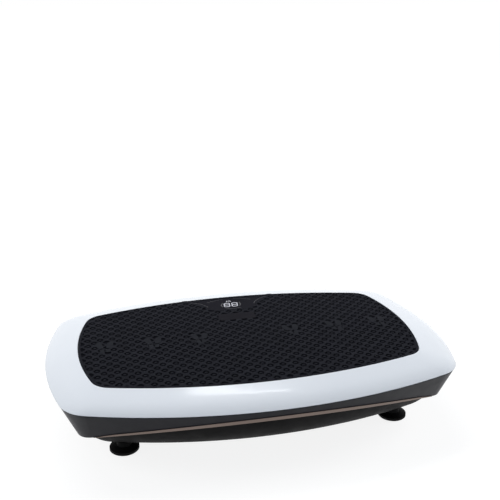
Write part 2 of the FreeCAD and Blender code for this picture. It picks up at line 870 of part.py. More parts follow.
def deck_frame():
    rails = [channel(f"rail_{n}", rail_length, size.rail_width, size.rail_height, rail_wall,
                     0, pivot_y * n, rail_low) for n in (-1, 1)]
    span = 2 * pivot_y - size.rail_width
    crosses = [slab(f"cross_{n}", size.cross_width, span, size.sheet_steel, x, 0, rail_top - size.sheet_steel)
               for n, x in enumerate((-size.cross_reach, MIDDLE, size.crank_x, size.cross_reach))]
    bore = size.screw_radius + size.part_gap
    holes = [rod(f"frame_hole_{n}", bore, size.rail_height * 2, x, y, rail_low - size.rail_height)
             for n, (x, y) in enumerate(COVER_SCREWS)]
    return keep("deck_frame", cut("deck_frame", fuse("frame_weldment", *rails, *crosses), *holes))


def ears(name, x, y, z, radius, bore, spread, thickness, top, width):
    """A saddle of two ears round a pin that lies along Y, joined by a plate above."""
    height = top - z
    parts = []
    for n, start in enumerate((y - spread - thickness, y + spread)):
        parts.append(rod(f"{name}_eye_{n}", radius, thickness, x, start, z, "Y"))
        parts.append(box(f"{name}_cheek_{n}", 2 * radius, thickness, height, x - radius, start, z))
    bridge = slab(name + "_bridge", width, 2 * (spread + thickness), thickness, x, y, top - thickness)
    pin_bore = rod(name + "_bore", bore, 4 * (spread + thickness), x, y - 2 * (spread + thickness), z, "Y")
    return cut(name, fuse(name + "_body", *parts, bridge), pin_bore)


half_stand = size.stand_thickness / 2
ear_spread = half_stand + size.ear_gap


def pivot_bracket(side, sign):
    y = pivot_y * sign
    top = rail_top - rail_wall - size.seat_gap
    return keep(f"pivot_bracket_{side}", ears(
        f"pivot_bracket_{side}", 0, y, pivot_z, size.ear_radius, size.pivot_pin_radius + size.seat_gap,
        ear_spread, size.sheet_steel, top, 2 * size.stand_radius + 2 * size.ear_gap))


def headed_pin(name, radius, length, head, x, y, z, y_sign):
    """A headed pin through both ears, with a retaining ring at its far end."""
    start = y - length / 2
    shank = rod(name + "_shank", radius, length, x, start, z, "Y")
    cap_y = start - size.sheet_steel if y_sign < 0 else start + length
    cap = rod(name + "_head", head, size.sheet_steel, x, cap_y, z, "Y")
    return fuse(name, shank, cap)


def pivot_pin(side, sign):
    length = 2 * (ear_spread + size.sheet_steel + size.seat_gap)
    return keep(f"pivot_pin_{side}", headed_pin(
        f"pivot_pin_{side}", size.pivot_pin_radius, length, size.pivot_pin_radius + size.pivot_pin_head,
        0, pivot_y * sign, pivot_z, sign))


link_spread = size.link_thickness / 2 + size.ear_gap


def link_bracket():
    top = rail_top - size.sheet_steel - size.seat_gap
    return keep("link_bracket", ears(
        "link_bracket", size.crank_x, 0, link_pin_z, size.link_pin_radius + size.link_ear_rim,
        size.link_pin_radius + size.seat_gap, link_spread, size.sheet_steel, top, size.cross_width))


def link_pin():
    length = 2 * (link_spread + size.sheet_steel + size.seat_gap)
    return keep("link_pin", headed_pin("link_pin", size.link_pin_radius, length,
                                       size.link_pin_radius + size.link_pin_head,
                                       size.crank_x, 0, link_pin_z, 1))


def screw(name, x, y, head_z, length, up=True):
    """A pan-head screw: the head sits below head_z and the shank rises from it, or the other way up."""
    head_high = size.screw_radius
    if up:
        parts = (rod(name + "_head", size.screw_head, head_high, x, y, head_z - head_high),
                 rod(name + "_shank", size.screw_radius, length, x, y, head_z))
    else:
        parts = (rod(name + "_head", size.screw_head, head_high, x, y, head_z),
                 rod(name + "_shank", size.screw_radius, length, x, y, head_z - length))
    return fuse(name, *parts)


def deck_screws():
    seat = rail_top - rail_wall - size.seat_gap
    reach = ceiling_z - seat - 1
    keep("cover_screws", group("cover_screws", *(
        screw(f"cover_screw_{n}", x, y, seat, reach) for n, (x, y) in enumerate(COVER_SCREWS))))
    under = skirt_top - size.skirt_wall - size.seat_gap
    keep("skirt_screws", group("skirt_screws", *(
        screw(f"skirt_screw_{n}", x, y, under, size.skirt_wall + size.seam_gap + 1)
        for n, (x, y) in enumerate(SKIRT_SCREWS))))


# ---------------------------------------------------------------- base: pan and feet
PAN_RINGS = (
    (size.floor_gap, size.pan_foot_inset),
    (size.floor_gap + size.pan_heel_rise, size.pan_heel_inset),
    (size.floor_gap + size.pan_belly_rise, size.pan_belly_inset),
    (pan_top, size.pan_rim_inset),
)


def pan_form(name, wall, lift, rise):
    """The bowl-shaped pan as a solid, drawn in by a wall and lifted off its floor."""
    owner = body(name)
    rings = []
    for step, (z, inset) in enumerate(PAN_RINGS):
        corner = size.pan_corner_radius + (size.pan_foot_inset - inset) * 0.5 - wall
        moved = z + (lift if step < 2 else 0) + (rise if step == 3 else 0)
        rings.append(level(owner, f"{name}_ring_{step}", plate.inset(inset + wall, corner), moved))
    loft(owner, name + "_loft", rings)
    return owner


BAY_BACK = bay_face - size.bay_wall


def pan_inside():
    """Foot bosses, floor ribs, chassis bosses and the connector bay's walls."""
    bosses = four("foot_boss", lambda n, x, y: rod(n, size.foot_neck_radius, size.foot_boss_height, x, y,
                                                 size.floor_gap),
                  foot_x, foot_y)
    rib_tall = size.pan_wall + size.pan_rib_rise
    length, depth = chassis_length + 2 * size.pan_rib_reach, chassis_depth + 2 * size.pan_tie_reach
    ribs = [slab(f"floor_rib_{n}", length, size.pan_rib, rib_tall, 0, chassis_depth / 5 * n,
                 size.floor_gap) for n in (-2, 0, 2)]
    ties = [slab(f"floor_tie_{n}", size.pan_rib, depth, rib_tall, chassis_length / 5 * n, 0,
                 size.floor_gap) for n in (-2, -1, 1, 2)]
    bay = box("bay_block", size.bay_width + 2 * size.bay_wall, size.overall_depth / 2,
              size.bay_height + 2 * size.bay_wall, -size.bay_width / 2 - size.bay_wall, BAY_BACK,
              size.bay_low - size.bay_wall)
    return fuse("pan_fittings", bosses, *ribs, *ties, bay)


VENTS = 7


def drilled(name, radius, thickness, z, x, y):
    """Four holes through a sheet that starts at z, running past both its faces."""
    length = thickness + 2 * size.drill_over
    return four(name, lambda n, at_x, at_y: rod(n, radius + size.seat_gap, length, at_x, at_y,
                                                z - size.drill_over), x, y)


def pan_cuts():
    bay = box("bay_space", size.bay_width, size.overall_depth / 2, size.bay_height,
              -size.bay_width / 2, bay_face, size.bay_low)
    studs = drilled("stud_hole", size.foot_stud_radius, size.foot_boss_height, size.floor_gap,
                    foot_x, foot_y)
    vents = [slab(f"vent_{n}", size.vent_width, size.window_depth - 2 * size.vent_inset,
                  size.pan_wall * 3, size.motor_x + (n - VENTS // 2) * size.vent_pitch,
                  size.window_y, size.floor_gap - size.pan_wall)
             for n in range(VENTS)]
    sleeve = size.pan_wall + size.part_gap
    inlet = slab("inlet_hole", size.inlet_mouth_width + 2 * sleeve, size.bay_wall * 4,
                 size.inlet_mouth_height + 2 * sleeve, size.inlet_x, bay_face,
                 bay_middle - size.inlet_mouth_height / 2 - sleeve)
    hidden = size.switch_lip - size.seat_gap
    switch = slab("switch_hole", size.switch_width - 2 * hidden, size.bay_wall * 4,
                  size.switch_height - 2 * hidden, size.switch_x, bay_face,
                  bay_middle - size.switch_height / 2 + hidden)
    bolts = drilled("pan_bolt_hole", size.screw_radius, size.pan_wall + size.pan_rib_rise,
                    size.floor_gap, BOLT_X, BOLT_Y)
    return (bay, studs, *vents, inlet, switch, bolts)


bay_middle = size.bay_low + size.bay_height / 2
BOLT_X = chassis_length / 2 - size.bolt_inset_x
BOLT_Y = chassis_depth / 2 - size.bolt_inset_y


def base_pan():
    level_rim = Size.of(0)
    outer = pan_form("pan_outside", Size.of(0), Size.of(0), level_rim)
    inner = pan_form("pan_inner", size.pan_wall, size.pan_wall, size.pan_open)
    shell = cut("pan_shell", outer, inner)
    limit = pan_form("pan_limit", size.pan_wall / 2, size.pan_wall / 2, level_rim)
    trimmed = common("pan_fittings_trimmed", pan_inside(), limit)
    return keep("base_pan", cut("base_pan", fuse("pan_body", shell, trimmed), *pan_cuts()))


def foot(node, x, y):
    """A suction foot: hollow below, a straight rim and a waisted neck with a bore for its stud."""
    bore = size.foot_stud_radius + size.seat_gap
    rim, neck, edge, step = size.foot_radius, size.foot_neck_radius, size.foot_edge, size.foot_step
    hollow, rim_top, top = size.foot_hollow, size.foot_rim_height, size.floor_gap
    seat = hollow + size.foot_web
    points = [(rim - size.foot_lip, 0), (rim - edge, 0), (rim, edge), (rim, rim_top),
              (rim - size.foot_shoulder, rim_top + step), (neck + edge, rim_top + 2 * step),
              (neck, top - 2 * step), (neck + step, top - step), (neck + step, top - size.part_gap),
              (bore, top - size.part_gap), (bore, seat), (0, seat), (0, hollow),
              (rim * 0.4, hollow * 0.8)]
    return keep(node, turned(node, points, x, y, 0))


def foot_stud(name, x, y):
    """A stud from the foot up through the pan's boss, with its nut on top."""
    low = size.foot_hollow + size.foot_web + size.part_gap
    shank = rod(name + "_shank", size.foot_stud_radius, size.foot_stud_height, x, y, low)
    nut_z = size.floor_gap + size.foot_boss_height + size.seat_gap
    nut = document.addObject("Part::Prism", name + "_nut")
    nut.Polygon = 6
    bind(nut, "Circumradius", size.foot_nut_radius)
    bind(nut, "Height", low + size.foot_stud_height - nut_z)
    place(nut, x, y, nut_z)
    return fuse(name, shank, nut)


# ---------------------------------------------------------------- base: chassis and stands
def chassis_plate():
    sheet_body = slab("chassis_sheet", chassis_length, chassis_depth, size.sheet_steel, 0, 0, chassis_z)
    flange = size.sheet_steel * 3
    lips = [slab(f"chassis_lip_{n}", chassis_length, size.sheet_steel, flange, 0,
                 (chassis_depth - size.sheet_steel) / 2 * n, chassis_z) for n in (-1, 1)]
    window = slab("chassis_window", size.window_length, size.window_depth, size.sheet_steel * 3,
                  size.motor_x, size.window_y, chassis_z - size.sheet_steel)
    bolts = drilled("chassis_bolt_hole", size.screw_radius, size.sheet_steel, chassis_z, BOLT_X, BOLT_Y)
    return keep("chassis_plate", cut("chassis_plate", fuse("chassis_form", sheet_body, *lips), window, bolts))


def bearing_stand(node, x, y, z, radius, bore, foot_width):
    """A cast stand: a bored head on a tapering web over a bolted foot."""
    low = deck_plate + size.seat_gap
    thick = size.stand_thickness
    toe = size.sheet_steel * 2
    web = profile_along_y(node + "_web", [(x - foot_width / 2, low), (x + foot_width / 2, low),
                                          (x + foot_width / 2, low + toe), (x + radius, z),
                                          (x - radius, z), (x - foot_width / 2, low + toe)],
                          y - thick / 2, thick)
    head = rod(node + "_head", radius, thick, x, y - thick / 2, z, "Y")
    through = rod(node + "_bore", bore, thick + 2, x, y - thick / 2 - 1, z, "Y")
    return keep(node, cut(node, fuse(node + "_form", web, head), through))


def ball_bearing(node, outer, inner, width, x, y, z):
    """A bearing as one ring with a recess between its races on both faces."""
    half = width / 2
    deep = half - size.race_depth
    race = (outer - inner) / 5
    near, far = (outer + inner) / 2 - race, (outer + inner) / 2 + race
    points = [(inner, -half), (near, -half), (near, -deep), (far, -deep), (far, -half), (outer, -half),
              (outer, half), (far, half), (far, deep), (near, deep), (near, half), (inner, half)]
    return keep(node, turned(node, points, x, y, z, "Y"))


def pivot_stands():
    for side, sign in (("front", -1), ("back", 1)):
        y = pivot_y * sign
        bearing_stand(f"pivot_stand_{side}", MIDDLE, y, pivot_z, size.stand_radius,
                      size.bearing_radius + size.seat_gap, size.stand_foot)
        ball_bearing(f"pivot_bearing_{side}", size.bearing_radius,
                     size.pivot_pin_radius + size.running_fit, size.bearing_width, 0, y, pivot_z)


def crank_stands():
    for side, sign in (("front", -1), ("back", 1)):
        y = size.crank_stand_y * sign
        bearing_stand(f"crank_stand_{side}", size.crank_x, y, size.crank_z, size.stand_radius,
                      size.bearing_radius + size.seat_gap, size.stand_foot)
        ball_bearing(f"crank_bearing_{side}", size.bearing_radius,
                     size.crank_journal_radius + size.running_fit, size.bearing_width,
                     size.crank_x, y, size.crank_z)


def stops():
    post_top = rail_low - size.stop_gap - size.buffer_height - size.seat_gap
    base_z = deck_plate + size.seat_gap

    def post(name, x, y):
        foot_disc = rod(name + "_base", size.post_radius + size.post_flange, size.sheet_steel, x, y, base_z)
        column = rod(name + "_column", size.post_radius, post_top - base_z, x, y, base_z)
        return fuse(name, foot_disc, column)

    def buffer(name, x, y):
        z = post_top + size.seat_gap
        straight = size.buffer_height - size.buffer_dome
        low = rod(name + "_block", size.buffer_radius, straight, x, y, z)
        dome = document.addObject("Part::Cone", name + "_dome")
        bind(dome, "Radius1", size.buffer_radius)
        bind(dome, "Radius2", size.buffer_tip_radius)
        bind(dome, "Height", size.buffer_dome)
        place(dome, x, y, z + straight)
        return fuse(name, low, dome)

    keep("stop_posts", four("stop_posts", post, stop_x, pivot_y))
    keep("stop_buffers", four("stop_buffers", buffer, stop_x, pivot_y))


def chassis_bolts():
    bolts = four("chassis_bolts", lambda n, x, y: screw(n, x, y, size.floor_gap - size.seat_gap,
                                                        deck_plate - size.floor_gap + 3), BOLT_X, BOLT_Y)
    return keep("chassis_bolts", bolts)


# ---------------------------------------------------------------- motor
def motor():
    x, z = size.motor_x, size.motor_z
    length = size.motor_front - size.motor_back
    keep("motor_can", tube("motor_can", size.motor_radius, size.motor_radius - size.motor_wall, length,
                           x, size.motor_back, z, "Y"))
    bore = size.motor_shaft_radius + size.running_fit
    outside, cap, edge, step = size.motor_radius, size.motor_cap, size.cap_edge, size.cap_step
    hub = bore + size.cap_hub
    front = [(bore, 0), (outside, 0), (outside, cap - edge), (outside - edge, cap), (hub, cap),
             (hub, cap + step), (bore, cap + step)]
    keep("motor_front_cap", turned("motor_front_cap", front, x, size.motor_front + size.seat_gap, z, "Y"))
    rear = [(bore, 0), (bore, -cap), (outside - step, -cap), (outside, step - cap), (outside, 0)]
    keep("motor_rear_cap", turned("motor_rear_cap", rear, x, size.motor_back - size.seat_gap, z, "Y"))
    inner = size.motor_radius - size.motor_wall - size.seat_gap
    ring = tube("magnet_ring", inner, inner - size.magnet_thickness, length - 2 * size.magnet_inset, x,
                size.motor_back + size.magnet_inset, z, "Y")
    gap = slab("magnet_gap", size.armature_radius, length, 2 * size.motor_radius, x,
               (size.motor_front + size.motor_back) / 2, z - size.motor_radius)
    keep("motor_magnets", cut("motor_magnets", ring, gap))


def motor_mounts():
    low = deck_plate + size.seat_gap
    face = size.motor_front + size.motor_cap + 2 * size.seat_gap
    x, z = size.motor_x, size.motor_z
    half = size.motor_radius + size.bracket_margin
    crest = z + size.motor_radius - size.sheet_steel
    leg = profile_along_y("bracket_leg", [
        (x - half, low), (x + half, low), (x + half, z), (x + half / 2, crest), (x - half / 2, crest),
        (x - half, z)], face, size.sheet_steel, [(size.motor_shaft_radius + size.bracket_margin, x, z)])
    toe = box("bracket_toe", 2 * half, size.bracket_toe, size.sheet_steel, x - half, face, low)
    keep("motor_bracket", fuse("motor_bracket", leg, toe))
    width = size.stand_thickness
    block = box("saddle_block", 2 * size.motor_radius, width, z - low - size.saddle_drop,
                x - size.motor_radius, size.motor_back + size.saddle_inset, low)
    bed = rod("saddle_bed", size.motor_radius + size.seat_gap, width * 3, x,
              size.motor_back - width, z, "Y")
    keep("motor_saddle", cut("motor_saddle", block, bed))


ARMATURE_SLOTS = 8
shaft_tip = size.belt_y + size.belt_width / 2 + size.pulley_flange + size.shaft_over


def rotor():
    x, z = size.motor_x, size.motor_z
    start = size.motor_back - size.motor_cap
    keep("motor_shaft", rod("motor_shaft", size.motor_shaft_radius, shaft_tip - start, x, start, z, "Y"))
    stack = tube("armature_stack", size.armature_radius, size.motor_shaft_radius + size.seat_gap,
                 size.motor_front - size.motor_back - 2 * size.armature_inset, x,
                 size.motor_back + size.armature_inset, z, "Y")
    slots = []
    for n in range(ARMATURE_SLOTS):
        turn = 2 * math.pi * n / ARMATURE_SLOTS
        reach = size.armature_radius - size.armature_slot / 2
        slots.append(rod(f"armature_slot_{n}", size.armature_slot, size.motor_front - size.motor_back,
                         x + reach * math.cos(turn), size.motor_back, z + reach * math.sin(turn), "Y"))
    keep("armature", cut("armature", stack, *slots))
    pulley("drive_pulley", size.drive_radius, size.motor_shaft_radius + size.seat_gap, x, z)


def pulley(node, radius, bore, x, z):
    """A flanged belt pulley with a waisted web."""
    half = size.belt_width / 2 + size.part_gap
    edge = half + size.pulley_flange
    lip = radius + size.pulley_flange
    points = [(bore, -edge), (lip, -edge), (lip, -edge + 1), (radius, -half), (radius, half), (lip, edge - 1),
              (lip, edge), (bore, edge)]
    return keep(node, turned(node, points, x, size.belt_y, z, "Y"))


def drive_belt():
    """A flat loop: two tangent runs and two wraps, held just clear of the pulleys."""
    x1, z1, r1 = size.motor_x, size.motor_z, size.drive_radius + size.part_gap
    x2, z2, r2 = size.crank_x, size.crank_z, size.driven_radius + size.part_gap
    owner = body("drive_belt")
    drawing = sketch_on(owner, "belt_loop", "XZ_Plane", -(size.belt_y + size.belt_width / 2))
    for grow in (0, size.belt_thickness):
        belt_wire(drawing, (x1, z1, r1 + grow), (x2, z2, r2 + grow))
    pad(owner, "belt_pad", drawing, size.belt_width)
    return keep("drive_belt", owner)


def belt_wire(drawing, small, large):
    (x1, z1, r1), (x2, z2, r2) = small, large
    span = math.hypot((x2 - x1).number, (z2 - z1).number)
    tilt = math.atan2((z2 - z1).number, (x2 - x1).number)
    lean = math.acos((r1 - r2).number / span)
    up = FreeCAD.Vector(0, 0, 1)
    first = drawing.GeometryCount
    start, stop = tilt + lean, tilt - lean + 2 * math.pi
    wraps = []
    for x, z, radius, begin, end in ((x1, z1, r1, start, stop), (x2, z2, r2, stop - 2 * math.pi, start)):
        circle = Part.Circle(FreeCAD.Vector(x.number, z.number, 0), up, radius.number)
        wraps.append(Part.ArcOfCircle(circle, begin, end))
    drawing.addGeometry(wraps[0], False)
    drawing.addGeometry(Part.LineSegment(wraps[0].EndPoint, wraps[1].StartPoint), False)
    drawing.addGeometry(wraps[1], False)
    drawing.addGeometry(Part.LineSegment(wraps[1].EndPoint, wraps[0].StartPoint), False)
    for step in range(4):
        rule(drawing, "Tangent", first + step, 2, first + (step + 1) % 4, 1)
    for item, (x, z, radius) in ((first, small), (first + 2, large)):
        rule(drawing, "Radius", item, value=radius)
        pin_point(drawing, item, 3, x, z)


# ---------------------------------------------------------------- crank and link
def crank():
    x, z = size.crank_x, size.crank_z
    end = size.crank_stand_y + half_stand + size.shaft_over
    journal = rod("crank_journal", size.crank_journal_radius, end + shaft_tip, x, -end, z, "Y")
    eccentric = rod("crank_eccentric", size.crank_pin_radius, size.crank_pin_width, x,
                    -size.crank_pin_width / 2, z - size.throw, "Y")
    keep("crank_shaft", fuse("crank_shaft", journal, eccentric))
    pulley("driven_pulley", size.driven_radius, size.crank_journal_radius + size.seat_gap, x, z)


def link():
    x = size.crank_x
    low = size.crank_z - size.throw
    thick = size.link_thickness
    big = size.link_bearing_radius + size.link_rim
    eye_bore = size.link_pin_radius + size.link_eye_clearance
    eye = eye_bore + size.link_rim * 0.8
    high = link_pin_z - size.throw
    parts = [rod("link_big_end", big, thick, x, -thick / 2, low, "Y"),
             rod("link_eye", eye, thick, x, -thick / 2, high, "Y"),
             slab("link_shank", size.link_web, thick, high - low, x, 0, low)]
    bores = [rod("link_big_bore", size.link_bearing_radius + size.seat_gap, thick * 2, x, -thick, low, "Y"),
             rod("link_eye_bore", eye_bore, thick * 2, x, -thick, high, "Y")]
    keep("connecting_link", cut("connecting_link", fuse("link_form", *parts), *bores))
    ball_bearing("link_bearing", size.link_bearing_radius, size.crank_pin_radius + size.running_fit,
                 size.link_bearing_width, x, 0, low)


# ---------------------------------------------------------------- electronics, inlet and switch
def electronics():
    low = deck_plate + size.seat_gap
    x = driver_x
    corner_x = size.driver_length / 2 - 2 * size.standoff_radius
    corner_y = size.driver_depth / 2 - 2 * size.standoff_radius
    posts = [rod(f"standoff_{n}_{m}", size.standoff_radius, size.standoff_height, x + corner_x * n,
                 corner_y * m, low)
             for n in (-1, 1) for m in (-1, 1)]
    keep("board_standoffs", group("board_standoffs", *posts))
    board_z = low + size.standoff_height + size.seat_gap
    keep("driver_board", slab("driver_board", size.driver_length, size.driver_depth, size.board_thickness,
                              x, 0, board_z))
    top = board_z + size.board_thickness + size.seat_gap
    caps = [rod(f"capacitor_{n}", size.capacitor_radius, size.capacitor_height, x + size.capacitor_x,
                size.capacitor_row * n, top) for n in (-1, 1)]
    keep("board_capacitors", group("board_capacitors", *caps))
    sink = slab("sink_base", size.sink_width, size.sink_depth, size.sink_base, x + size.sink_x, 0, top)
    fins = [slab(f"sink_fin_{n}", size.sink_fin, size.sink_depth, size.sink_height,
                 x + size.sink_x + size.sink_pitch * n, 0, top) for n in (-2, -1, 0, 1, 2)]
    keep("heat_sink", fuse("heat_sink", sink, *fins))


def inlet_profile(width, height, x, z):
    """A socket mouth with its two upper corners cut off."""
    half, cut_off = width / 2, height / 4
    low, high = z - height / 2, z + height / 2
    return [(x - half, low), (x + half, low), (x + half, high - cut_off), (x + half - cut_off, high),
            (x - half + cut_off, high), (x - half, high - cut_off)]


def power_inlet():
    x, z = size.inlet_x, bay_middle
    wall = size.pan_wall
    face = bay_face + size.seat_gap
    plate_body = slab("inlet_flange", size.inlet_width, size.inlet_plate, size.inlet_height, x,
                      face + size.inlet_plate / 2, z - size.inlet_height / 2)
    shell = slab("inlet_shell", size.inlet_mouth_width + 2 * wall, size.inlet_depth + wall,
                 size.inlet_mouth_height + 2 * wall, x, face - (size.inlet_depth + wall) / 2,
                 z - size.inlet_mouth_height / 2 - wall)
    opening = inlet_profile(size.inlet_mouth_width, size.inlet_mouth_height, x, z)
    mouth = profile_along_y("inlet_mouth", opening, face - size.inlet_depth, size.inlet_depth * 2)
    ear = size.inlet_width / 2 - size.inlet_ear_inset
    screws = [rod(f"inlet_ear_{n}", size.screw_radius, size.bay_wall * 3, x + ear * n,
                  bay_face - size.bay_wall, z, "Y") for n in (-1, 1)]
    keep("power_inlet", cut("power_inlet", fuse("inlet_form", plate_body, shell), mouth, *screws))
    start = face - size.inlet_depth + size.seat_gap
    spots = ((-size.pin_reach, -size.pin_drop), (size.pin_reach, -size.pin_drop), (0, size.pin_rise))
    blades = [slab(f"blade_{n}", size.pin_thickness, size.pin_length, size.pin_height, x + dx,
                   start + size.pin_length / 2, z + dz - size.pin_height / 2)
              for n, (dx, dz) in enumerate(spots)]
    keep("inlet_pins", group("inlet_pins", *blades))


def switch_housing():
    x, z = size.switch_x, bay_middle
    face = bay_face + size.seat_gap
    low = z - size.switch_height / 2
    bezel = slab("switch_bezel", size.switch_width, size.bezel_thickness, size.switch_height, x,
                 face + size.bezel_thickness / 2, low)
    case = slab("switch_case", size.switch_width - 2 * size.switch_lip, size.switch_depth,
                size.switch_height - 2 * size.switch_lip, x, face - size.switch_depth / 2,
                low + size.switch_lip)
    half_well = size.rocker_half + size.rocker_clear
    well = slab("switch_well", size.rocker_width + 2 * size.part_gap, size.well_depth, 2 * half_well, x,
                face + size.bezel_thickness / 4, z - half_well)
    half_hole = size.rocker_width / 2 + size.trunnion_reach + 2 * size.seat_gap
    trunnions = rod("switch_trunnion_hole", size.trunnion_radius + size.running_fit, 2 * half_hole,
                    x - half_hole, bay_face, z, "X")
    keep("switch_housing", cut("switch_housing", fuse("switch_form", bezel, case), well, trunnions))


def switch_rocker():
    """A rocker with a shallow valley across its face, resting on one side."""
    half = size.rocker_half
    face, root, skirt = size.rocker_face, size.rocker_root, -size.rocker_skirt
    crest = face + half * math.tan(math.radians(DRIVING["rocker_tilt"]))
    owner = body("switch_rocker")
    drawing = sketch_on(owner, "rocker_profile", "YZ_Plane", -size.rocker_width / 2)
    polygon(drawing, [(-root, -root), (skirt, -half), (crest, -half), (face, 0), (crest, half),
                      (skirt, half), (-root, root)])
    pad(owner, "rocker_pad", drawing, size.rocker_width)
    reach = size.rocker_width / 2 + size.trunnion_reach
    pin_side = sketch_on(owner, "rocker_pin", "YZ_Plane", -reach)
    hole(pin_side, size.trunnion_radius, 0, 0)
    pad(owner, "rocker_trunnion", pin_side, 2 * reach)
    owner.Placement = FreeCAD.Placement(FreeCAD.Vector(), FreeCAD.Rotation(FreeCAD.Vector(1, 0, 0),
                                                                           -DRIVING["rocker_tilt"]))
    place(owner, size.switch_x, bay_face, bay_middle)
    return keep("switch_rocker", owner)


# ---------------------------------------------------------------- build everything
def make_deck():
    deck_cover()
    anti_slip_mat()
    display_panel()
    led_module()
    display_board()
    deck_skirt()
    trims()
    deck_frame()
    for side, sign in (("front", -1), ("back", 1)):
        pivot_bracket(side, sign)
        pivot_pin(side, sign)
    link_bracket()
    link_pin()
    deck_screws()


def make_base():
    base_pan()
    for end, sign_x in (("left", -1), ("right", 1)):
        for side, sign_y in (("front", -1), ("back", 1)):
            foot(f"foot_{side}_{end}", foot_x * sign_x, foot_y * sign_y)
    keep("foot_studs", four("foot_studs", foot_stud, foot_x, foot_y))
    chassis_plate()
    chassis_bolts()
    pivot_stands()
    crank_stands()
    stops()
    motor()
    motor_mounts()
    drive_belt()
    electronics()
    power_inlet()
    switch_housing()


make_deck()
make_base()
crank()
link()
rotor()
switch_rocker()
document.recompute()


# ---------------------------------------------------------------- checks and files
def faults():
    found = [thing.Name for thing in document.Objects
             if "Invalid" in thing.State or "Error" in thing.State]
    for node, thing in pieces.items():
        shape = thing.Shape
        if shape.isNull() or not shape.isValid() or shape.Volume <= 0:
            found.append(f"{node} has no valid solid")
    return found


problems = faults()
if problems:
    raise RuntimeError("not built: " + ", ".join(problems))
for node, thing in pieces.items():
    thing.Shape.exportStep(f"parts/{node}.step")
    print(f"{node:22s} solids {len(thing.Shape.Solids)} volume {thing.Shape.Volume / 1000:9.2f} cm3")
print(f"{len(pieces)} sub-parts")
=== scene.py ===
import bmesh
import bpy
import json
import math
from mathutils import Matrix, Vector
from mathutils.geometry import tessellate_polygon

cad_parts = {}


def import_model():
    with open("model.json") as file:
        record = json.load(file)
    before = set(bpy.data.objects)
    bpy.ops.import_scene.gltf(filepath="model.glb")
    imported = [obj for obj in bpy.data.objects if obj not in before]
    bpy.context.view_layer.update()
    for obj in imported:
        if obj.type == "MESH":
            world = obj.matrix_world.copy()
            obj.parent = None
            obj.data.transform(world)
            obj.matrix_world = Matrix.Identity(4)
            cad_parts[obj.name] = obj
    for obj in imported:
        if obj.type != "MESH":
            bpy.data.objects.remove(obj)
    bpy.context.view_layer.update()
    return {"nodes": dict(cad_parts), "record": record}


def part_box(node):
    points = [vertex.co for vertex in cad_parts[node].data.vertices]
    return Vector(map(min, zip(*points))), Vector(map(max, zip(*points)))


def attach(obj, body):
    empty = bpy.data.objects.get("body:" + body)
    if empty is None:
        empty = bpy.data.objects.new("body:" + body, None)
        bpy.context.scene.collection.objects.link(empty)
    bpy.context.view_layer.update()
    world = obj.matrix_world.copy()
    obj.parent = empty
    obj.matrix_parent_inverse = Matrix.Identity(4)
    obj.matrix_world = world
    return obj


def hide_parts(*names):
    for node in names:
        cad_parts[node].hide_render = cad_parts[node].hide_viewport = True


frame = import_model()
nodes = frame["nodes"]
print("frame loaded:", len(nodes), "nodes")


def addNode(tree, kind, sockets, settings):  # each socket takes a value or another node's output
    node = tree.nodes.new(kind)
    for key, value in settings.items():
        setattr(node, key, value)
    for key, value in sockets.items():
        if isinstance(value, bpy.types.NodeSocket):
            tree.links.new(value, node.inputs[key])
        else:
            node.inputs[key].default_value = value
    return node


# what the materials are made with
class Recipe:
    def __init__(self, name):
        self.material = bpy.data.materials.new(name)
        self.material.use_nodes = True
        self.tree = self.material.node_tree
        self.shader = self.tree.nodes["Principled BSDF"]
        self.place = self.node("ShaderNodeTexCoord").outputs["Object"]
        self.normal = None

    def node(self, kind, sockets=None, **settings):
        return addNode(self.tree, kind, sockets or {}, settings)

    def stretched(self, stretch):
        return self.node("ShaderNodeMapping", {"Vector": self.place, "Scale": stretch}).outputs[0]

    def noise(self, size, detail=3.0, rough=0.55, stretch=None):  # size is the blotch's width in metres
        where = self.place if stretch is None else self.stretched(stretch)
        sockets = {"Vector": where, "Scale": 1 / size, "Detail": detail, "Roughness": rough}
        return self.node("ShaderNodeTexNoise", sockets).outputs[0]

    def cells(self, size):
        sockets = {"Vector": self.place, "Scale": 1 / size}
        return self.node("ShaderNodeTexVoronoi", sockets).outputs["Distance"]

    def between(self, factor, low, high, start=0.3, stop=0.7):
        sockets = {"Value": factor, "From Min": start, "From Max": stop, "To Min": low, "To Max": high}
        return self.node("ShaderNodeMapRange", sockets).outputs[0]

    def tones(self, factor, low, high, start=0.3, stop=0.7):
        mixed = self.node("ShaderNodeMix", data_type="RGBA")
        self.tree.links.new(self.between(factor, 0, 1, start, stop), mixed.inputs[0])
        for socket, tone in ((mixed.inputs[6], low), (mixed.inputs[7], high)):
            if isinstance(tone, bpy.types.NodeSocket):
                self.tree.links.new(tone, socket)
            else:
                socket.default_value = (*tone, 1)
        return mixed.outputs[2]

    def rounded(self, radius):
        return self.node("ShaderNodeBevel", {"Radius": radius}, samples=4).outputs[0]

    def softEdges(self, radius):
        self.normal = self.rounded(radius)

    def bump(self, height, depth):
        sockets = {"Height": height, "Distance": depth, "Strength": 1.0}
        if self.normal is not None:
            sockets["Normal"] = self.normal
        self.normal = self.node("ShaderNodeBump", sockets).outputs[0]

    def edgeWear(self, radius):  # 1 on corners, 0 on flats
        true = self.node("ShaderNodeNewGeometry").outputs["Normal"]
        sockets = {0: self.rounded(radius), 1: true}
        alike = self.node("ShaderNodeVectorMath", sockets, operation="DOT_PRODUCT").outputs["Value"]
        return self.between(alike, 1, 0, 0.90, 0.995)

    def finish(self, colour, roughness, **fixed):
        for key, value in (("Base Color", colour), ("Roughness", roughness), ("Normal", self.normal)):
            if isinstance(value, bpy.types.NodeSocket):
                self.tree.links.new(value, self.shader.inputs[key])
            elif value is not None:
                self.shader.inputs[key].default_value = (*value, 1) if key == "Base Color" else value
        for key, value in fixed.items():
            self.shader.inputs[key].default_value = value
        return self.material


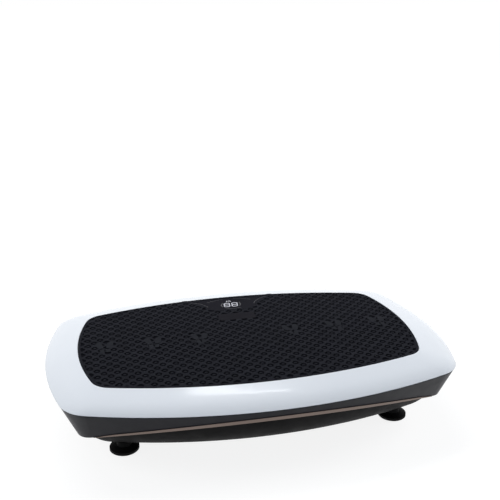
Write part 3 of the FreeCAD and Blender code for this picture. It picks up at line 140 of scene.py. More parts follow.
def shade(colour, amount):
    return tuple(min(1.0, channel * amount) for channel in colour)


def coverPaint(name, colour, roughness, orangePeel, peelSize):
    recipe = Recipe(name)
    recipe.softEdges(0.0006)
    recipe.bump(recipe.noise(peelSize, 2), orangePeel)
    tone = recipe.tones(recipe.noise(0.09), shade(colour, 0.985), colour)
    gloss = recipe.between(recipe.noise(0.03), roughness, roughness + 0.06)
    return recipe.finish(tone, gloss, **{"Coat Weight": 0.5, "Coat Roughness": 0.07})


def mouldedPlastic(name, colour, roughness=0.4, grain=0.00003, grainSize=0.0009, worn=0.0, shine=0.5):
    recipe = Recipe(name)
    recipe.softEdges(0.0004)
    recipe.bump(recipe.noise(grainSize, 4), grain)
    tone = recipe.tones(recipe.noise(0.05), shade(colour, 0.88), shade(colour, 1.10))
    if worn:
        tone = recipe.tones(recipe.edgeWear(0.0008), tone, shade(colour, 1 + worn), 0, 1)
    gloss = recipe.between(recipe.noise(0.02), roughness - 0.04, roughness + 0.06)
    return recipe.finish(tone, gloss, **{"Specular IOR Level": shine})


def rubber(name, colour, roughness=0.62, grain=0.00006, grainSize=0.0012, shine=0.2):
    recipe = Recipe(name)
    recipe.softEdges(0.0005)
    recipe.bump(recipe.noise(grainSize, 4, 0.65), grain)
    tone = recipe.tones(recipe.noise(0.02), shade(colour, 0.8), shade(colour, 1.2))
    tone = recipe.tones(recipe.edgeWear(0.001), tone, shade(colour, 1.7), 0, 1)
    gloss = recipe.between(recipe.noise(0.008), roughness - 0.06, roughness + 0.10)
    return recipe.finish(tone, gloss, **{"Specular IOR Level": shine})


def brushedMetal(name, colour, roughness, along):  # along: how the streaks are squeezed on each axis
    recipe = Recipe(name)
    recipe.softEdges(0.0004)
    streaks = recipe.noise(0.02, 4, 0.6, along)
    recipe.bump(streaks, 0.00001)
    tone = recipe.tones(streaks, shade(colour, 0.86), shade(colour, 1.08))
    tone = recipe.tones(recipe.edgeWear(0.0008), tone, shade(colour, 1.25), 0, 1)
    return recipe.finish(tone, recipe.between(streaks, roughness - 0.06, roughness + 0.10), Metallic=1.0)


def castMetal(name, colour, roughness=0.5):
    recipe = Recipe(name)
    recipe.softEdges(0.0006)
    recipe.bump(recipe.cells(0.0016), 0.00006)
    tone = recipe.tones(recipe.noise(0.012), shade(colour, 0.8), shade(colour, 1.1))
    tone = recipe.tones(recipe.edgeWear(0.001), tone, shade(colour, 1.35), 0, 1)
    gloss = recipe.between(recipe.noise(0.006), roughness - 0.08, roughness + 0.12)
    return recipe.finish(tone, gloss, Metallic=0.9)


def circuitBoard(name, dark, light, track, patch):
    recipe = Recipe(name)
    sockets = {"Vector": recipe.place, "Scale": 160.0, "Mortar Size": 0.012, "Color1": (*dark, 1),
               "Color2": (*light, 1), "Mortar": (*track, 1)}
    tracks = recipe.node("ShaderNodeTexBrick", sockets)
    recipe.bump(tracks.outputs["Fac"], 0.00004)
    colour = recipe.tones(recipe.noise(0.01), tracks.outputs["Color"], patch, 0.45, 0.8)
    return recipe.finish(colour, 0.28)


def stackedSteel(name, dark, light):  # thin sheets side by side along the shaft
    recipe = Recipe(name)
    sockets = {"Vector": recipe.place, "Scale": 320.0, "Distortion": 0.4}
    sheets = recipe.node("ShaderNodeTexWave", sockets, bands_direction="Y").outputs[1]
    recipe.softEdges(0.0003)
    recipe.bump(sheets, 0.00005)
    return recipe.finish(recipe.tones(sheets, dark, light), 0.42, Metallic=1.0)


def litPlastic(name, colour, glow):
    recipe = Recipe(name)
    recipe.bump(recipe.noise(0.0006, 2), 0.00001)
    tone = recipe.tones(recipe.noise(0.002, 2), shade(colour, 0.9), colour)
    recipe.tree.links.new(tone, recipe.shader.inputs["Emission Color"])
    return recipe.finish(tone, 0.35, **{"Emission Strength": glow})


# each finish: what makes it, and its settings
finishes = {
    "white_cover": (coverPaint, {"colour": (0.80, 0.83, 0.88), "roughness": 0.20, "orangePeel": 0.000004,
                                 "peelSize": 0.004}),
    "mat_rubber": (rubber, {"colour": (0.0130, 0.0134, 0.0172), "roughness": 0.66, "shine": 0.02}),
    "panel_plastic": (mouldedPlastic, {"colour": (0.0085, 0.0083, 0.0120), "roughness": 0.55,
                                       "grain": 0.000012, "shine": 0.015}),
    "display_plastic": (mouldedPlastic, {"colour": (0.30, 0.30, 0.32), "roughness": 0.3}),
    "circuit_board": (circuitBoard, {"dark": (0.005, 0.07, 0.03), "light": (0.006, 0.09, 0.04),
                                     "track": (0.03, 0.22, 0.08), "patch": (0.004, 0.06, 0.03)}),
    "skirt_plastic": (mouldedPlastic, {"colour": (0.040, 0.039, 0.046), "roughness": 0.42,
                                       "grain": 0.00002, "worn": 0.4, "shine": 0.13}),
    "champagne_trim": (brushedMetal, {"colour": (0.20, 0.155, 0.135), "roughness": 0.42,
                                      "along": (40, 1, 1)}),
    "pan_plastic": (mouldedPlastic, {"colour": (0.0085, 0.0080, 0.0085), "roughness": 0.55,
                                     "grain": 0.00005, "worn": 0.5, "shine": 0.05}),
    "foot_rubber": (rubber, {"colour": (0.0045, 0.0045, 0.0048), "roughness": 0.62, "shine": 0.1}),
    "zinc_steel": (brushedMetal, {"colour": (0.50, 0.51, 0.53), "roughness": 0.38, "along": (1, 12, 12)}),
    "bright_steel": (brushedMetal, {"colour": (0.62, 0.62, 0.63), "roughness": 0.22, "along": (1, 60, 1)}),
    "fastener_steel": (brushedMetal, {"colour": (0.42, 0.42, 0.43), "roughness": 0.34, "along": (20, 20, 1)}),
    "cast_metal": (castMetal, {"colour": (0.34, 0.35, 0.36)}),
    "pulley_metal": (brushedMetal, {"colour": (0.46, 0.46, 0.47), "roughness": 0.30, "along": (1, 50, 1)}),
    "belt_rubber": (rubber, {"colour": (0.012, 0.012, 0.012), "roughness": 0.6, "grain": 0.00008,
                             "grainSize": 0.0007}),
    "buffer_rubber": (rubber, {"colour": (0.016, 0.016, 0.017), "roughness": 0.7}),
    "post_plastic": (mouldedPlastic, {"colour": (0.05, 0.05, 0.055), "roughness": 0.45}),
    "motor_paint": (mouldedPlastic, {"colour": (0.035, 0.037, 0.042), "roughness": 0.33,
                                     "grain": 0.00002, "worn": 2.5}),
    "magnet_ferrite": (castMetal, {"colour": (0.05, 0.05, 0.055), "roughness": 0.6}),
    "armature_steel": (stackedSteel, {"dark": (0.20, 0.20, 0.21), "light": (0.42, 0.42, 0.44)}),
    "capacitor_sleeve": (mouldedPlastic, {"colour": (0.012, 0.03, 0.10), "roughness": 0.25,
                                          "grain": 0.000008}),
    "sink_aluminium": (brushedMetal, {"colour": (0.55, 0.56, 0.57), "roughness": 0.34, "along": (1, 30, 1)}),
    "inlet_plastic": (mouldedPlastic, {"colour": (0.011, 0.011, 0.012), "roughness": 0.44,
                                       "grain": 0.00003, "worn": 0.9}),
    "pin_brass": (brushedMetal, {"colour": (0.66, 0.50, 0.26), "roughness": 0.25, "along": (1, 20, 1)}),
    "rocker_plastic": (mouldedPlastic, {"colour": (0.010, 0.010, 0.011), "roughness": 0.30,
                                        "grain": 0.00001, "worn": 0.7}),
    # on pieces that only this scene has
    # the floor between the ribs: the ribs' own rubber, painted darker as shade in the recesses
    "mat_recess_rubber": (rubber, {"colour": (0.0060, 0.0062, 0.0085), "roughness": 0.72, "shine": 0.01}),
    "mat_mark_rubber": (mouldedPlastic, {"colour": (0.0140, 0.0134, 0.0168), "roughness": 0.62,
                                         "grain": 0.000015, "shine": 0.01}),
    "mat_sole_rubber": (mouldedPlastic, {"colour": (0.0185, 0.0192, 0.0232), "roughness": 0.62,
                                         "grain": 0.000015, "shine": 0.01}),
    "lit_segment": (litPlastic, {"colour": (0.55, 0.55, 0.60), "glow": 0.22}),
    "panel_print": (mouldedPlastic, {"colour": (0.060, 0.060, 0.066), "roughness": 0.45, "grain": 0.000008}),
    # crosses on screw and bolt heads: painted shade of their recesses
    "screw_recess": (mouldedPlastic, {"colour": (0.010, 0.010, 0.011), "roughness": 0.6}),
    "switch_print": (mouldedPlastic, {"colour": (0.80, 0.80, 0.80), "roughness": 0.5, "grain": 0.000005}),
}
made = {name: make(name, **settings) for name, (make, settings) in finishes.items()}
for part in frame["record"]["subparts"]:
    thing = nodes[part["node"]]
    thing.data.materials.clear()
    thing.data.materials.append(made[part["material_slot"]])
print("finishes made:", len(made))


# what the pieces are made with
def faceOutwards(mesh):
    work = bmesh.new()
    work.from_mesh(mesh)
    bmesh.ops.remove_doubles(work, verts=work.verts, dist=1e-6)
    bmesh.ops.recalc_face_normals(work, faces=work.faces)
    work.to_mesh(mesh)
    work.free()


def thingOf(name, vertices, faces):
    mesh = bpy.data.meshes.new(name)
    mesh.from_pydata(vertices, [], faces)
    faceOutwards(mesh)
    return bpy.data.objects.new(name, mesh)


def ownCopy(node, name):
    copy = nodes[node].copy()
    copy.data = nodes[node].data.copy()
    copy.name = copy.data.name = name
    for key in list(copy.keys()):
        del copy[key]
    copy.parent = None
    faceOutwards(copy.data)
    return copy


def joined(name, things):
    work = bmesh.new()
    for thing in things:
        work.from_mesh(thing.data)
        bpy.data.objects.remove(thing)
    mesh = bpy.data.meshes.new(name)
    work.to_mesh(mesh)
    work.free()
    return bpy.data.objects.new(name, mesh)


sharpFrom = 35  # degrees between two faces that keep a sharp edge


def dress(thing, finish, body="deck"):  # the last step of every piece
    if thing.name not in bpy.context.scene.collection.objects:
        bpy.context.scene.collection.objects.link(thing)
    mesh = thing.data
    mesh.materials.clear()
    mesh.materials.append(made[finish])
    mesh.polygons.foreach_set("use_smooth", [True] * len(mesh.polygons))
    mesh.set_sharp_from_angle(angle=math.radians(sharpFrom))
    mesh.update()
    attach(thing, body)


def at(outline, z):
    return [(point.x, point.y, z) for point in outline]


def arc(x, y, radius, start, stop, steps):
    turns = [start + (stop - start) * step / steps for step in range(steps)]
    return [Vector((x + radius * math.cos(turn), y + radius * math.sin(turn))) for turn in turns]


def circle(radius, steps=20):
    return arc(0, 0, radius, 0, 2 * math.pi, steps)


def rectangle(length, width):
    x, y = length / 2, width / 2
    return [Vector(corner) for corner in ((-x, -y), (x, -y), (x, y), (-x, y))]


def moved(outline, x, y):
    return [point + Vector((x, y)) for point in outline]


def grown(outline, distance):  # moves each side of a closed outline out along its normal
    wider = []
    count = len(outline)
    for step, point in enumerate(outline):
        before = (point - outline[step - 1]).normalized()
        after = (outline[(step + 1) % count] - point).normalized()
        normal = Vector((before.y + after.y, -before.x - after.x))
        normal.normalize()
        lean = max(0.5, normal.dot(Vector((after.y, -after.x))))
        wider.append(point + normal * distance / lean)
    return wider


def rounded(corners, radius, steps=4):  # a closed outline with each corner cut by an arc-like curve
    smooth = []
    count = len(corners)
    for step, corner in enumerate(corners):
        back, ahead = corners[step - 1] - corner, corners[(step + 1) % count] - corner
        reach = min(radius, back.length * 0.45, ahead.length * 0.45)
        start, stop = corner + back.normalized() * reach, corner + ahead.normalized() * reach
        smooth += bent(start, corner, stop, steps)
    return smooth


def bent(start, bend, stop, steps):  # a run of points that leaves start and reaches stop, pulled towards bend
    turns = [part / steps for part in range(steps + 1)]
    return [start * (1 - t) ** 2 + bend * 2 * t * (1 - t) + stop * t ** 2 for t in turns]


def loops(rings, close=True):  # quads between rings of equal length; a closed tube when close is set
    count = len(rings[0])
    vertices = [point for ring in rings for point in ring]
    faces = []
    for level in range(len(rings) if close else len(rings) - 1):
        here, above = level * count, (level + 1) % len(rings) * count
        for step in range(count):
            ahead = (step + 1) % count
            faces.append((here + step, here + ahead, above + ahead, above + step))
    return vertices, faces


def block(name, outline, low, high, chamfer=0.0):  # upright walls under a flat top
    rings = [at(outline, low), at(outline, high - chamfer)]
    top = outline
    if chamfer:
        top = grown(outline, -chamfer)
        rings.append(at(top, high))
    vertices, faces = loops(rings, close=False)
    first = len(vertices) - len(outline)
    cap = tessellate_polygon([[Vector((point.x, point.y, 0)) for point in top]])
    faces += [tuple(first + spot for spot in triangle) for triangle in cap]
    faces += [tuple(reversed(triangle)) for triangle in cap]
    return thingOf(name, vertices, faces)


# the mat's plan: two side arcs, two end arcs and four corner arcs, all tangent
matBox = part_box("anti_slip_mat")
matMiddle = (matBox[0] + matBox[1]) / 2
plan = {
    "endRadius": 0.3775,
    "sideRadius": 0.8635,
    "cornerRadius": 0.035,
    "steps": 30,
}


def matOutline(inset):
    halfLength = (matBox[1].x - matBox[0].x) / 2
    halfDepth = (matBox[1].y - matBox[0].y) / 2
    end, side, corner = plan["endRadius"], plan["sideRadius"], plan["cornerRadius"]
    endX, sideY = halfLength - end, halfDepth - side  # centres of the right and the back arc
    span = math.hypot(endX, sideY)
    reachSide, reachEnd = side - corner, end - corner
    along = (reachSide ** 2 - reachEnd ** 2 + span ** 2) / (2 * span)
    off = math.sqrt(reachSide ** 2 - along ** 2)
    ux, uy = endX / span, -sideY / span
    spots = [(along * ux + turn * off * uy, sideY + along * uy - turn * off * ux) for turn in (1, -1)]
    kx, ky = max(spots, key=sum)  # centre of the corner's arc
    endTurn, sideTurn = math.atan2(ky, kx - endX), math.atan2(ky - sideY, kx)
    half, steps = math.pi, plan["steps"]  # half a turn
    end, side, corner = end - inset, side - inset, corner - inset
    points = (arc(endX, 0, end, -endTurn, endTurn, steps)
              + arc(kx, ky, corner, endTurn, sideTurn, steps // 3)
              + arc(0, sideY, side, sideTurn, half - sideTurn, steps * 2)
              + arc(-kx, ky, corner, half - sideTurn, half - endTurn, steps // 3)
              + arc(-endX, 0, end, half - endTurn, half + endTurn, steps)
              + arc(-kx, -ky, corner, half + endTurn, half + sideTurn, steps // 3)
              + arc(0, -sideY, side, half + sideTurn, 2 * half - sideTurn, steps * 2)
              + arc(kx, -ky, corner, 2 * half - sideTurn, 2 * half - endTurn, steps // 3))
    return moved(points, 0, matMiddle.y)


# display panel: the shield in the mat's back edge
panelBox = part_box("display_panel")
shield = {
    "waist": 0.092,
    "foot": 0.058,
    "middle": 0.55,  # where its sides turn, as a share of its depth from the back
    "nip": 0.004,
    "gap": 0.0003,
    "corner": 0.0025,
    "rim": 0.0026,
}


def shieldOutline():
    top, waist, foot = (panelBox[1].x - panelBox[0].x) / 2, shield["waist"] / 2, shield["foot"] / 2
    high, low, nip = panelBox[1].y, panelBox[0].y, shield["nip"]
    middle, heel, shoulder = high - (high - low) * shield["middle"], low + 2 * nip, high - nip
    half = [(foot, low), (waist, heel), (waist, middle), (top, shoulder), (top - nip, high)]
    corners = [Vector(corner) for corner in half + [(-x, y) for x, y in reversed(half)]]
    return grown(rounded(corners, shield["corner"]), shield["gap"])


# the mat: a floor, smooth bands round the tread and the panel, and the tread between them
mat = {
    "border": 0.0042,        # smooth edge round the tread
    "edgeRound": 0.0007,
    "edgeShare": 0.3,        # how far in and down the middle of that rounding lies
    "edgeSink": 0.0004,
    "treadDepth": 0.0015,
    "topLayer": 0.0005,      # how deep the vertices of the mat's top face may lie
    "reach": 0.68,           # of the lattice across the mat
    "pitch": 0.01445,
    "ribWidth": 0.0046,
    "ribTopWidth": 0.0034,
    "ribRound": 0.0003,
    "ribDrop": 0.00003,      # of the second family below the first
    "ribLap": 0.001,         # how far the ribs run into the smooth parts
    "ribSoleLap": 0.0006,
    "trimStep": 0.0012,      # how finely the ribs follow the border
    "studRadius": 0.0030,
    "studTopRadius": 0.0023,
    "studHeight": 0.0015,
    "studClear": 0.0032,
    "studSoleShare": 0.8,    # of that clearance, kept round the soles
    "webRadius": 0.0074,     # of the thickenings at the ribs' crossings
    "webSlope": 0.0007,
    "webDrop": 0.00006,
    "webClear": 0.0022,
    "webMarkClear": 0.001,
    "dotLift": 0.0001,       # of the lattice above the floor, where its rays start
    "dotSink": 0.0003,
    "dotFoot": 0.0002,       # height that a stud or web has inside the floor
}
matTop = matBox[1].z
treadFloor = matTop - mat["treadDepth"]


def bandSide(outline, inward):  # from the foot of a band over its rounded edge to its top
    edge = mat["edgeRound"]
    middle = edge * mat["edgeShare"]
    return [at(outline, treadFloor - mat["edgeSink"]), at(outline, matTop - edge),
            at(grown(outline, inward * middle), matTop - middle), at(grown(outline, inward * edge), matTop)]


def ringBand(name, outer, inner):
    rings = bandSide(outer, -1) + bandSide(inner, 1)[::-1]
    dress(thingOf(name, *loops(rings)), "mat_rubber")


def matBase():
    copy = ownCopy("anti_slip_mat", "mat_base")
    for vertex in copy.data.vertices:
        if vertex.co.z > matTop - mat["topLayer"]:
            vertex.co.z = treadFloor
    # the tread's floor takes the darker finish: painted shade in the recesses
    dress(copy, "mat_recess_rubber")
    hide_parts("anti_slip_mat")


# smooth raised shapes on the mat
marks = {
    "spots": (-0.239, -0.159, -0.080, 0.080, 0.159, 0.239),
    "y": 0.0065,
    "tall": 0.040,
    "wide": 0.029,
    "splay": 7.0,
    "soleShapes": (
        ((0.16, -0.12), (0.72, -0.12), (0.92, 0.16), (0.90, 0.40), (0.56, 0.52), (0.22, 0.42), (0.14, 0.14)),
        ((0.20, -0.50), (0.66, -0.50), (0.72, -0.18), (0.17, -0.18)),
    ),
    "soleRound": 0.005,
    "soleChamfer": 0.0004,
    "badgeWide": 0.066,
    "badgeDeep": 0.029,
    "badgeY": 0.0815,
    "badgeRound": 0.006,
    "badgeChamfer": 0.0005,
    "sink": 0.0003,
}


def soleOutlines(side):  # one shoe's print seen from above, toes outwards: its sole and its heel
    wide, tall = marks["wide"] / 2, marks["tall"]
    turn = math.radians(marks["splay"]) * -side
    cos, sin = math.cos(turn), math.sin(turn)
    outlines = []
    for shape in marks["soleShapes"]:
        corners = [Vector((side * x * wide, y * tall)) for x, y in shape]
        turned = [Vector((p.x * cos - p.y * sin, p.x * sin + p.y * cos)) for p in corners]
        outlines.append(rounded(turned if side > 0 else turned[::-1], marks["soleRound"], 3))
    return outlines


def footMarks():
    outlines = []
    for x in marks["spots"]:
        for side in (-1, 1):
            outlines += [moved(outline, x, marks["y"]) for outline in soleOutlines(side)]
    return outlines


def badgeOutline():
    w, d, y = marks["badgeWide"] / 2, marks["badgeDeep"] / 2, marks["badgeY"]
    corners = [Vector(corner) for corner in ((-w, y - d), (w, y - d), (w, y + d), (-w, y + d))]
    return rounded(corners, marks["badgeRound"], 5)


border = mat["border"]
shieldEdge = shieldOutline()
shieldRim = grown(shieldEdge, shield["rim"])
soles = footMarks()
badge = badgeOutline()
matBase()
ringBand("mat_border", matOutline(0.0), matOutline(border))
ringBand("mat_panel_rim", shieldRim, shieldEdge)
markFoot = treadFloor - marks["sink"]
prints = [block(f"sole_{n}", sole, markFoot, matTop, marks["soleChamfer"]) for n, sole in enumerate(soles)]
dress(joined("foot_marks", prints), "mat_sole_rubber")
dress(block("mat_badge", badge, markFoot, matTop, marks["badgeChamfer"]), "mat_mark_rubber")


# the tread: two families of ribs on a turned square lattice, with a stud in each recess
class Tree:
    def __init__(self, name):
        self.group = bpy.data.node_groups.new(name, "GeometryNodeTree")
        self.group.interface.new_socket(name="Geometry", in_out="OUTPUT", socket_type="NodeSocketGeometry")
        self.inputs = self.group.nodes.new("NodeGroupInput")
        self.output = self.group.nodes.new("NodeGroupOutput")
        self.identifiers = {}

    def take(self, name, kind="NodeSocketFloat"):
        socket = self.group.interface.new_socket(name=name, in_out="INPUT", socket_type=kind)
        self.identifiers[name] = socket.identifier
        return self.inputs.outputs[name]

    def node(self, kind, sockets=None, **settings):
        return addNode(self.group, kind, sockets or {}, settings)

    def sum(self, kind, *terms):
        return self.node("ShaderNodeMath", dict(enumerate(terms)), operation=kind).outputs[0]

    def placed(self, geometry, spot, turn):  # turn is in degrees, about the upright axis
        sockets = {"Geometry": geometry, "Translation": spot, "Rotation": (0, 0, math.radians(turn))}
        return self.node("GeometryNodeTransform", sockets).outputs[0]

    def upright(self, y, z):
        return self.node("ShaderNodeCombineXYZ", {"X": 0.0, "Y": y, "Z": z}).outputs[0]

    def keptOver(self, geometry, field):  # drops the points that have no field below them
        target = self.node("GeometryNodeObjectInfo", {"Object": field}).outputs["Geometry"]
        sockets = {"Target Geometry": target, "Ray Direction": (0, 0, -1), "Ray Length": 0.1}
        hit = self.node("GeometryNodeRaycast", sockets).outputs["Is Hit"]
        missed = self.node("FunctionNodeBooleanMath", {0: hit}, operation="NOT").outputs[0]
        sockets = {"Geometry": geometry, "Selection": missed}
        return self.node("GeometryNodeDeleteGeometry", sockets, domain="POINT").outputs[0]

    def close(self, geometry, material):
        real = self.node("GeometryNodeRealizeInstances", {"Geometry": geometry}).outputs[0]
        done = self.node("GeometryNodeSetMaterial", {"Geometry": real, "Material": material}).outputs[0]
        self.group.links.new(done, self.output.inputs[0])

    def thing(self, name, values):  # runs the tree once and keeps its plain mesh
        holder = bpy.data.objects.new(name + "_tree", bpy.data.meshes.new(name + "_seed"))
        bpy.context.scene.collection.objects.link(holder)
        modifier = holder.modifiers.new(name, "NODES")
        modifier.node_group = self.group
        for key, value in values.items():
            modifier[self.identifiers[key]] = value
        bpy.context.view_layer.update()
        evaluated = holder.evaluated_get(bpy.context.evaluated_depsgraph_get())
        mesh = bpy.data.meshes.new_from_object(evaluated)
        holder.modifiers.remove(modifier)
        bpy.data.objects.remove(holder)
        mesh.name = name
        return bpy.data.objects.new(name, mesh)


# a flat field with holes, met by the tread's rays
def fieldOf(name, inset, shieldHole, badgeGap, soleGap):
    outlines = [matOutline(inset), shieldHole, grown(badge, badgeGap)]
    outlines += [grown(sole, soleGap) for sole in soles]
    triangles = tessellate_polygon([[Vector((p.x, p.y, 0)) for p in outline] for outline in outlines])
    mesh = bpy.data.meshes.new(name)
    mesh.from_pydata([(p.x, p.y, treadFloor) for outline in outlines for p in outline], [], triangles)
    thing = bpy.data.objects.new(name, mesh)
    bpy.context.scene.collection.objects.link(thing)
    return thing


# parallel lines of short steps along x: a grid without its cross lines
def ribLines(tree, across, count, reach, stops):
    level = 0.0001  # the most that the two ends of a step may differ in y
    sockets = {"Size X": reach, "Size Y": across, "Vertices X": stops, "Vertices Y": count}
    grid = tree.node("GeometryNodeMeshGrid", sockets).outputs[0]
    ends = tree.node("GeometryNodeInputMeshEdgeVertices")
    sockets = {0: ends.outputs["Position 1"], 1: ends.outputs["Position 2"]}
    gap = tree.node("ShaderNodeVectorMath", sockets, operation="SUBTRACT").outputs[0]
    gapY = tree.node("ShaderNodeSeparateXYZ", {0: gap}).outputs["Y"]
    sockets = {0: tree.sum("ABSOLUTE", gapY), 1: level}
    crossing = tree.node("FunctionNodeCompare", sockets, data_type="FLOAT", operation="GREATER_THAN")
    sockets = {"Geometry": grid, "Selection": crossing.outputs[0]}
    return tree.node("GeometryNodeDeleteGeometry", sockets, domain="EDGE", mode="EDGE_FACE").outputs[0]


def ribTree():
    tree = Tree("matRibs")
    pitch, step = tree.take("Pitch"), tree.take("Trim Step")
    width, topWidth, height = tree.take("Rib Width"), tree.take("Rib Top Width"), tree.take("Rib Height")
    floor, middle = tree.take("Floor"), tree.take("Middle Y")
    field, material = tree.take("Field", "NodeSocketObject"), tree.take("Material", "NodeSocketMaterial")
    reach = mat["reach"]
    lines = tree.sum("MULTIPLY", tree.sum("ROUND", tree.sum("DIVIDE", reach / 2, pitch)), 2.0)
    across, count = tree.sum("MULTIPLY", lines, pitch), tree.sum("ADD", lines, 1.0)
    stops = tree.sum("ROUND", tree.sum("DIVIDE", reach, step))
    sockets = {"Height": height, "Bottom Width": width, "Top Width": topWidth, "Offset": 0.0}
    profile = tree.node("GeometryNodeCurvePrimitiveQuadrilateral", sockets, mode="TRAPEZOID").outputs[0]
    sockets = {"Curve": profile, "Radius": mat["ribRound"], "Count": 1}
    profile = tree.node("GeometryNodeFilletCurve", sockets, mode="POLY").outputs[0]
    both = tree.node("GeometryNodeJoinGeometry")
    for turn, drop in ((45, 0.0), (-45, mat["ribDrop"])):
        rows = ribLines(tree, across, count, reach, stops)
        lift = tree.sum("ADD", floor, tree.sum("SUBTRACT", tree.sum("DIVIDE", height, 2.0), drop))
        kept = tree.keptOver(tree.placed(rows, tree.upright(middle, lift), turn), field)
        curve = tree.node("GeometryNodeMeshToCurve", {"Mesh": kept}).outputs[0]
        curve = tree.node("GeometryNodeResampleCurve", {"Curve": curve, "Count": 2}).outputs[0]
        curve = tree.node("GeometryNodeSetCurveNormal", {"Curve": curve}, mode="Z_UP").outputs[0]
        sockets = {"Curve": curve, "Profile Curve": profile, "Fill Caps": True}
        tree.group.links.new(tree.node("GeometryNodeCurveToMesh", sockets).outputs[0], both.inputs[0])
    tree.close(both.outputs[0], material)
    return tree


# low cones on the lattice: extra is 0 for its recesses and 1 for its crossings
def dotTree(name, sides, extra):
    tree = Tree(name)
    pitch, floor, middle = tree.take("Pitch"), tree.take("Floor"), tree.take("Middle Y")
    low, high, height = tree.take("Foot Radius"), tree.take("Top Radius"), tree.take("Height")
    field, material = tree.take("Field", "NodeSocketObject"), tree.take("Material", "NodeSocketMaterial")
    lines = tree.sum("ROUND", tree.sum("DIVIDE", mat["reach"] / 2, pitch))
    count = tree.sum("ADD", tree.sum("MULTIPLY", lines, 2.0), extra)
    across = tree.sum("MULTIPLY", tree.sum("SUBTRACT", count, 1.0), pitch)
    sockets = {"Size X": across, "Size Y": across, "Vertices X": count, "Vertices Y": count}
    grid = tree.node("GeometryNodeMeshGrid", sockets).outputs[0]
    spot = tree.upright(middle, tree.sum("ADD", floor, mat["dotLift"]))
    kept = tree.keptOver(tree.placed(grid, spot, 45), field)
    sockets = {"Vertices": sides, "Radius Top": high, "Radius Bottom": low, "Depth": height}
    dot = tree.node("GeometryNodeMeshCone", sockets).outputs[0]
    sunk = tree.placed(dot, (0, 0, -mat["dotSink"]), 45)
    spread = tree.node("GeometryNodeInstanceOnPoints", {"Points": kept, "Instance": sunk}).outputs[0]
    tree.close(spread, material)
    return tree


ribLap, studClear, webRadius = mat["ribLap"], mat["studClear"], mat["webRadius"]
webClear, markClear = mat["webClear"], mat["webMarkClear"]
fields = {
    "rib": fieldOf("rib_field", border - ribLap, grown(shieldRim, -ribLap), -ribLap, -mat["ribSoleLap"]),
    "stud": fieldOf("stud_field", border + studClear, grown(shieldRim, studClear), studClear,
                    studClear * mat["studSoleShare"]),
    "web": fieldOf("web_field", border + webClear, grown(shieldEdge, webRadius), markClear, markClear),
}
shared = {"Pitch": mat["pitch"], "Floor": treadFloor, "Middle Y": matMiddle.y, "Material": made["mat_rubber"]}
ribValues = {**shared, "Trim Step": mat["trimStep"], "Rib Width": mat["ribWidth"],
             "Rib Top Width": mat["ribTopWidth"], "Rib Height": mat["treadDepth"], "Field": fields["rib"]}
studValues = {**shared, "Foot Radius": mat["studRadius"], "Top Radius": mat["studTopRadius"],
              "Height": mat["studHeight"] + mat["dotFoot"], "Field": fields["stud"]}
webValues = {**shared, "Foot Radius": webRadius, "Top Radius": webRadius - mat["webSlope"],
             "Height": mat["treadDepth"] + mat["dotFoot"] - mat["webDrop"], "Field": fields["web"]}
dress(ribTree().thing("mat_ribs", ribValues), "mat_rubber")
dress(dotTree("matStuds", 8, 0.0).thing("mat_studs", studValues), "mat_rubber")
dress(dotTree("matWebs", 4, 1.0).thing("mat_webs", webValues), "mat_rubber")
for field in fields.values():
    bpy.data.objects.remove(field)
print("mat made")


# the display: two slanted seven-segment digits, a small wave sign and thin lines on the panel
panelTop = panelBox[1].z
display = {
    "x": 0.0,
    "y": 0.1365,
    "wide": 0.0098,
    "tall": 0.0165,
    "stroke": 0.0020,
    "gap": 0.0004,
    "slant": 0.13,
    "apart": 0.0146,
    "thick": 0.00022,
    "sink": 0.0001,
}
sign = {
    "x": -0.001,
    "rise": 0.0086,
    "points": ((-0.0042, -0.0022), (-0.0030, 0.0028), (-0.0008, -0.0010), (0.0014, 0.0034),
               (0.0040, -0.0016)),
    "width": 0.0016,
}
panelLines = {
    "bracketX": 0.0158,
    "bracketFoot": (-0.0006, -0.008),
    "bracketBow": 0.0026,
    "bracketTop": (0.0018, 0.0095),
    "bracketWidth": 0.0014,
    "underline": ((-0.014, 0.1205), (0.001, 0.1165), (0.016, 0.1205)),
    "underlineWidth": 0.0008,
    "wings": (((0.074, 0.1625), (0.052, 0.156), (0.0435, 0.134)),
              ((0.010, 0.1655), (0.026, 0.1635), (0.042, 0.1545))),
    "wingWidth": 0.00055,
    "steps": 12,
}


def halfAcross(points, width):  # half the width of a line through the points, as a sideways step
    along = (points[-1] - points[0]).normalized()
    return Vector((-along.y, along.x)) * width / 2


def segment(start, stop, width):  # a bar with pointed ends
    side = halfAcross((start, stop), width)
    tip = (stop - start).normalized() * width / 2
    return [start, start + tip - side, stop - tip - side, stop, stop - tip + side, start + tip + side]


def digitOutlines(x, y):
    w, t = display["wide"] / 2, display["tall"] / 2
    spots = {"tl": (-w, t), "tr": (w, t), "ml": (-w, 0), "mr": (w, 0), "bl": (-w, -t), "br": (w, -t)}
    bars = [("tl", "tr"), ("ml", "mr"), ("bl", "br"), ("ml", "tl"), ("mr", "tr"), ("bl", "ml"), ("br", "mr")]
    outlines = []
    for one, two in bars:
        start, stop = Vector(spots[one]), Vector(spots[two])
        inward = (stop - start).normalized() * display["gap"]
        bar = segment(start + inward, stop - inward, display["stroke"])
        outlines.append([Vector((x + p.x + p.y * display["slant"], y + p.y)) for p in bar])
    return outlines


def stroke(points, width):  # a thin band along a run of points
    left, right = [], []
    for step, point in enumerate(points):
        side = halfAcross(points[max(0, step - 1):step + 2], width)
        left.append(point - side)
        right.append(point + side)
    return left + right[::-1]


def curved(spots, side=1):
    start, bend, stop = [Vector((side * x, y)) for x, y in spots]
    return bent(start, bend, stop, panelLines["steps"])


def bracket(side):
    x, y = display["x"] + side * panelLines["bracketX"], display["y"]
    (footX, footY), (topX, topY) = panelLines["bracketFoot"], panelLines["bracketTop"]
    spots = ((x + footX, y + footY), (x + side * panelLines["bracketBow"], y), (x + topX, y + topY))
    return stroke([Vector(spot) for spot in spots], panelLines["bracketWidth"])


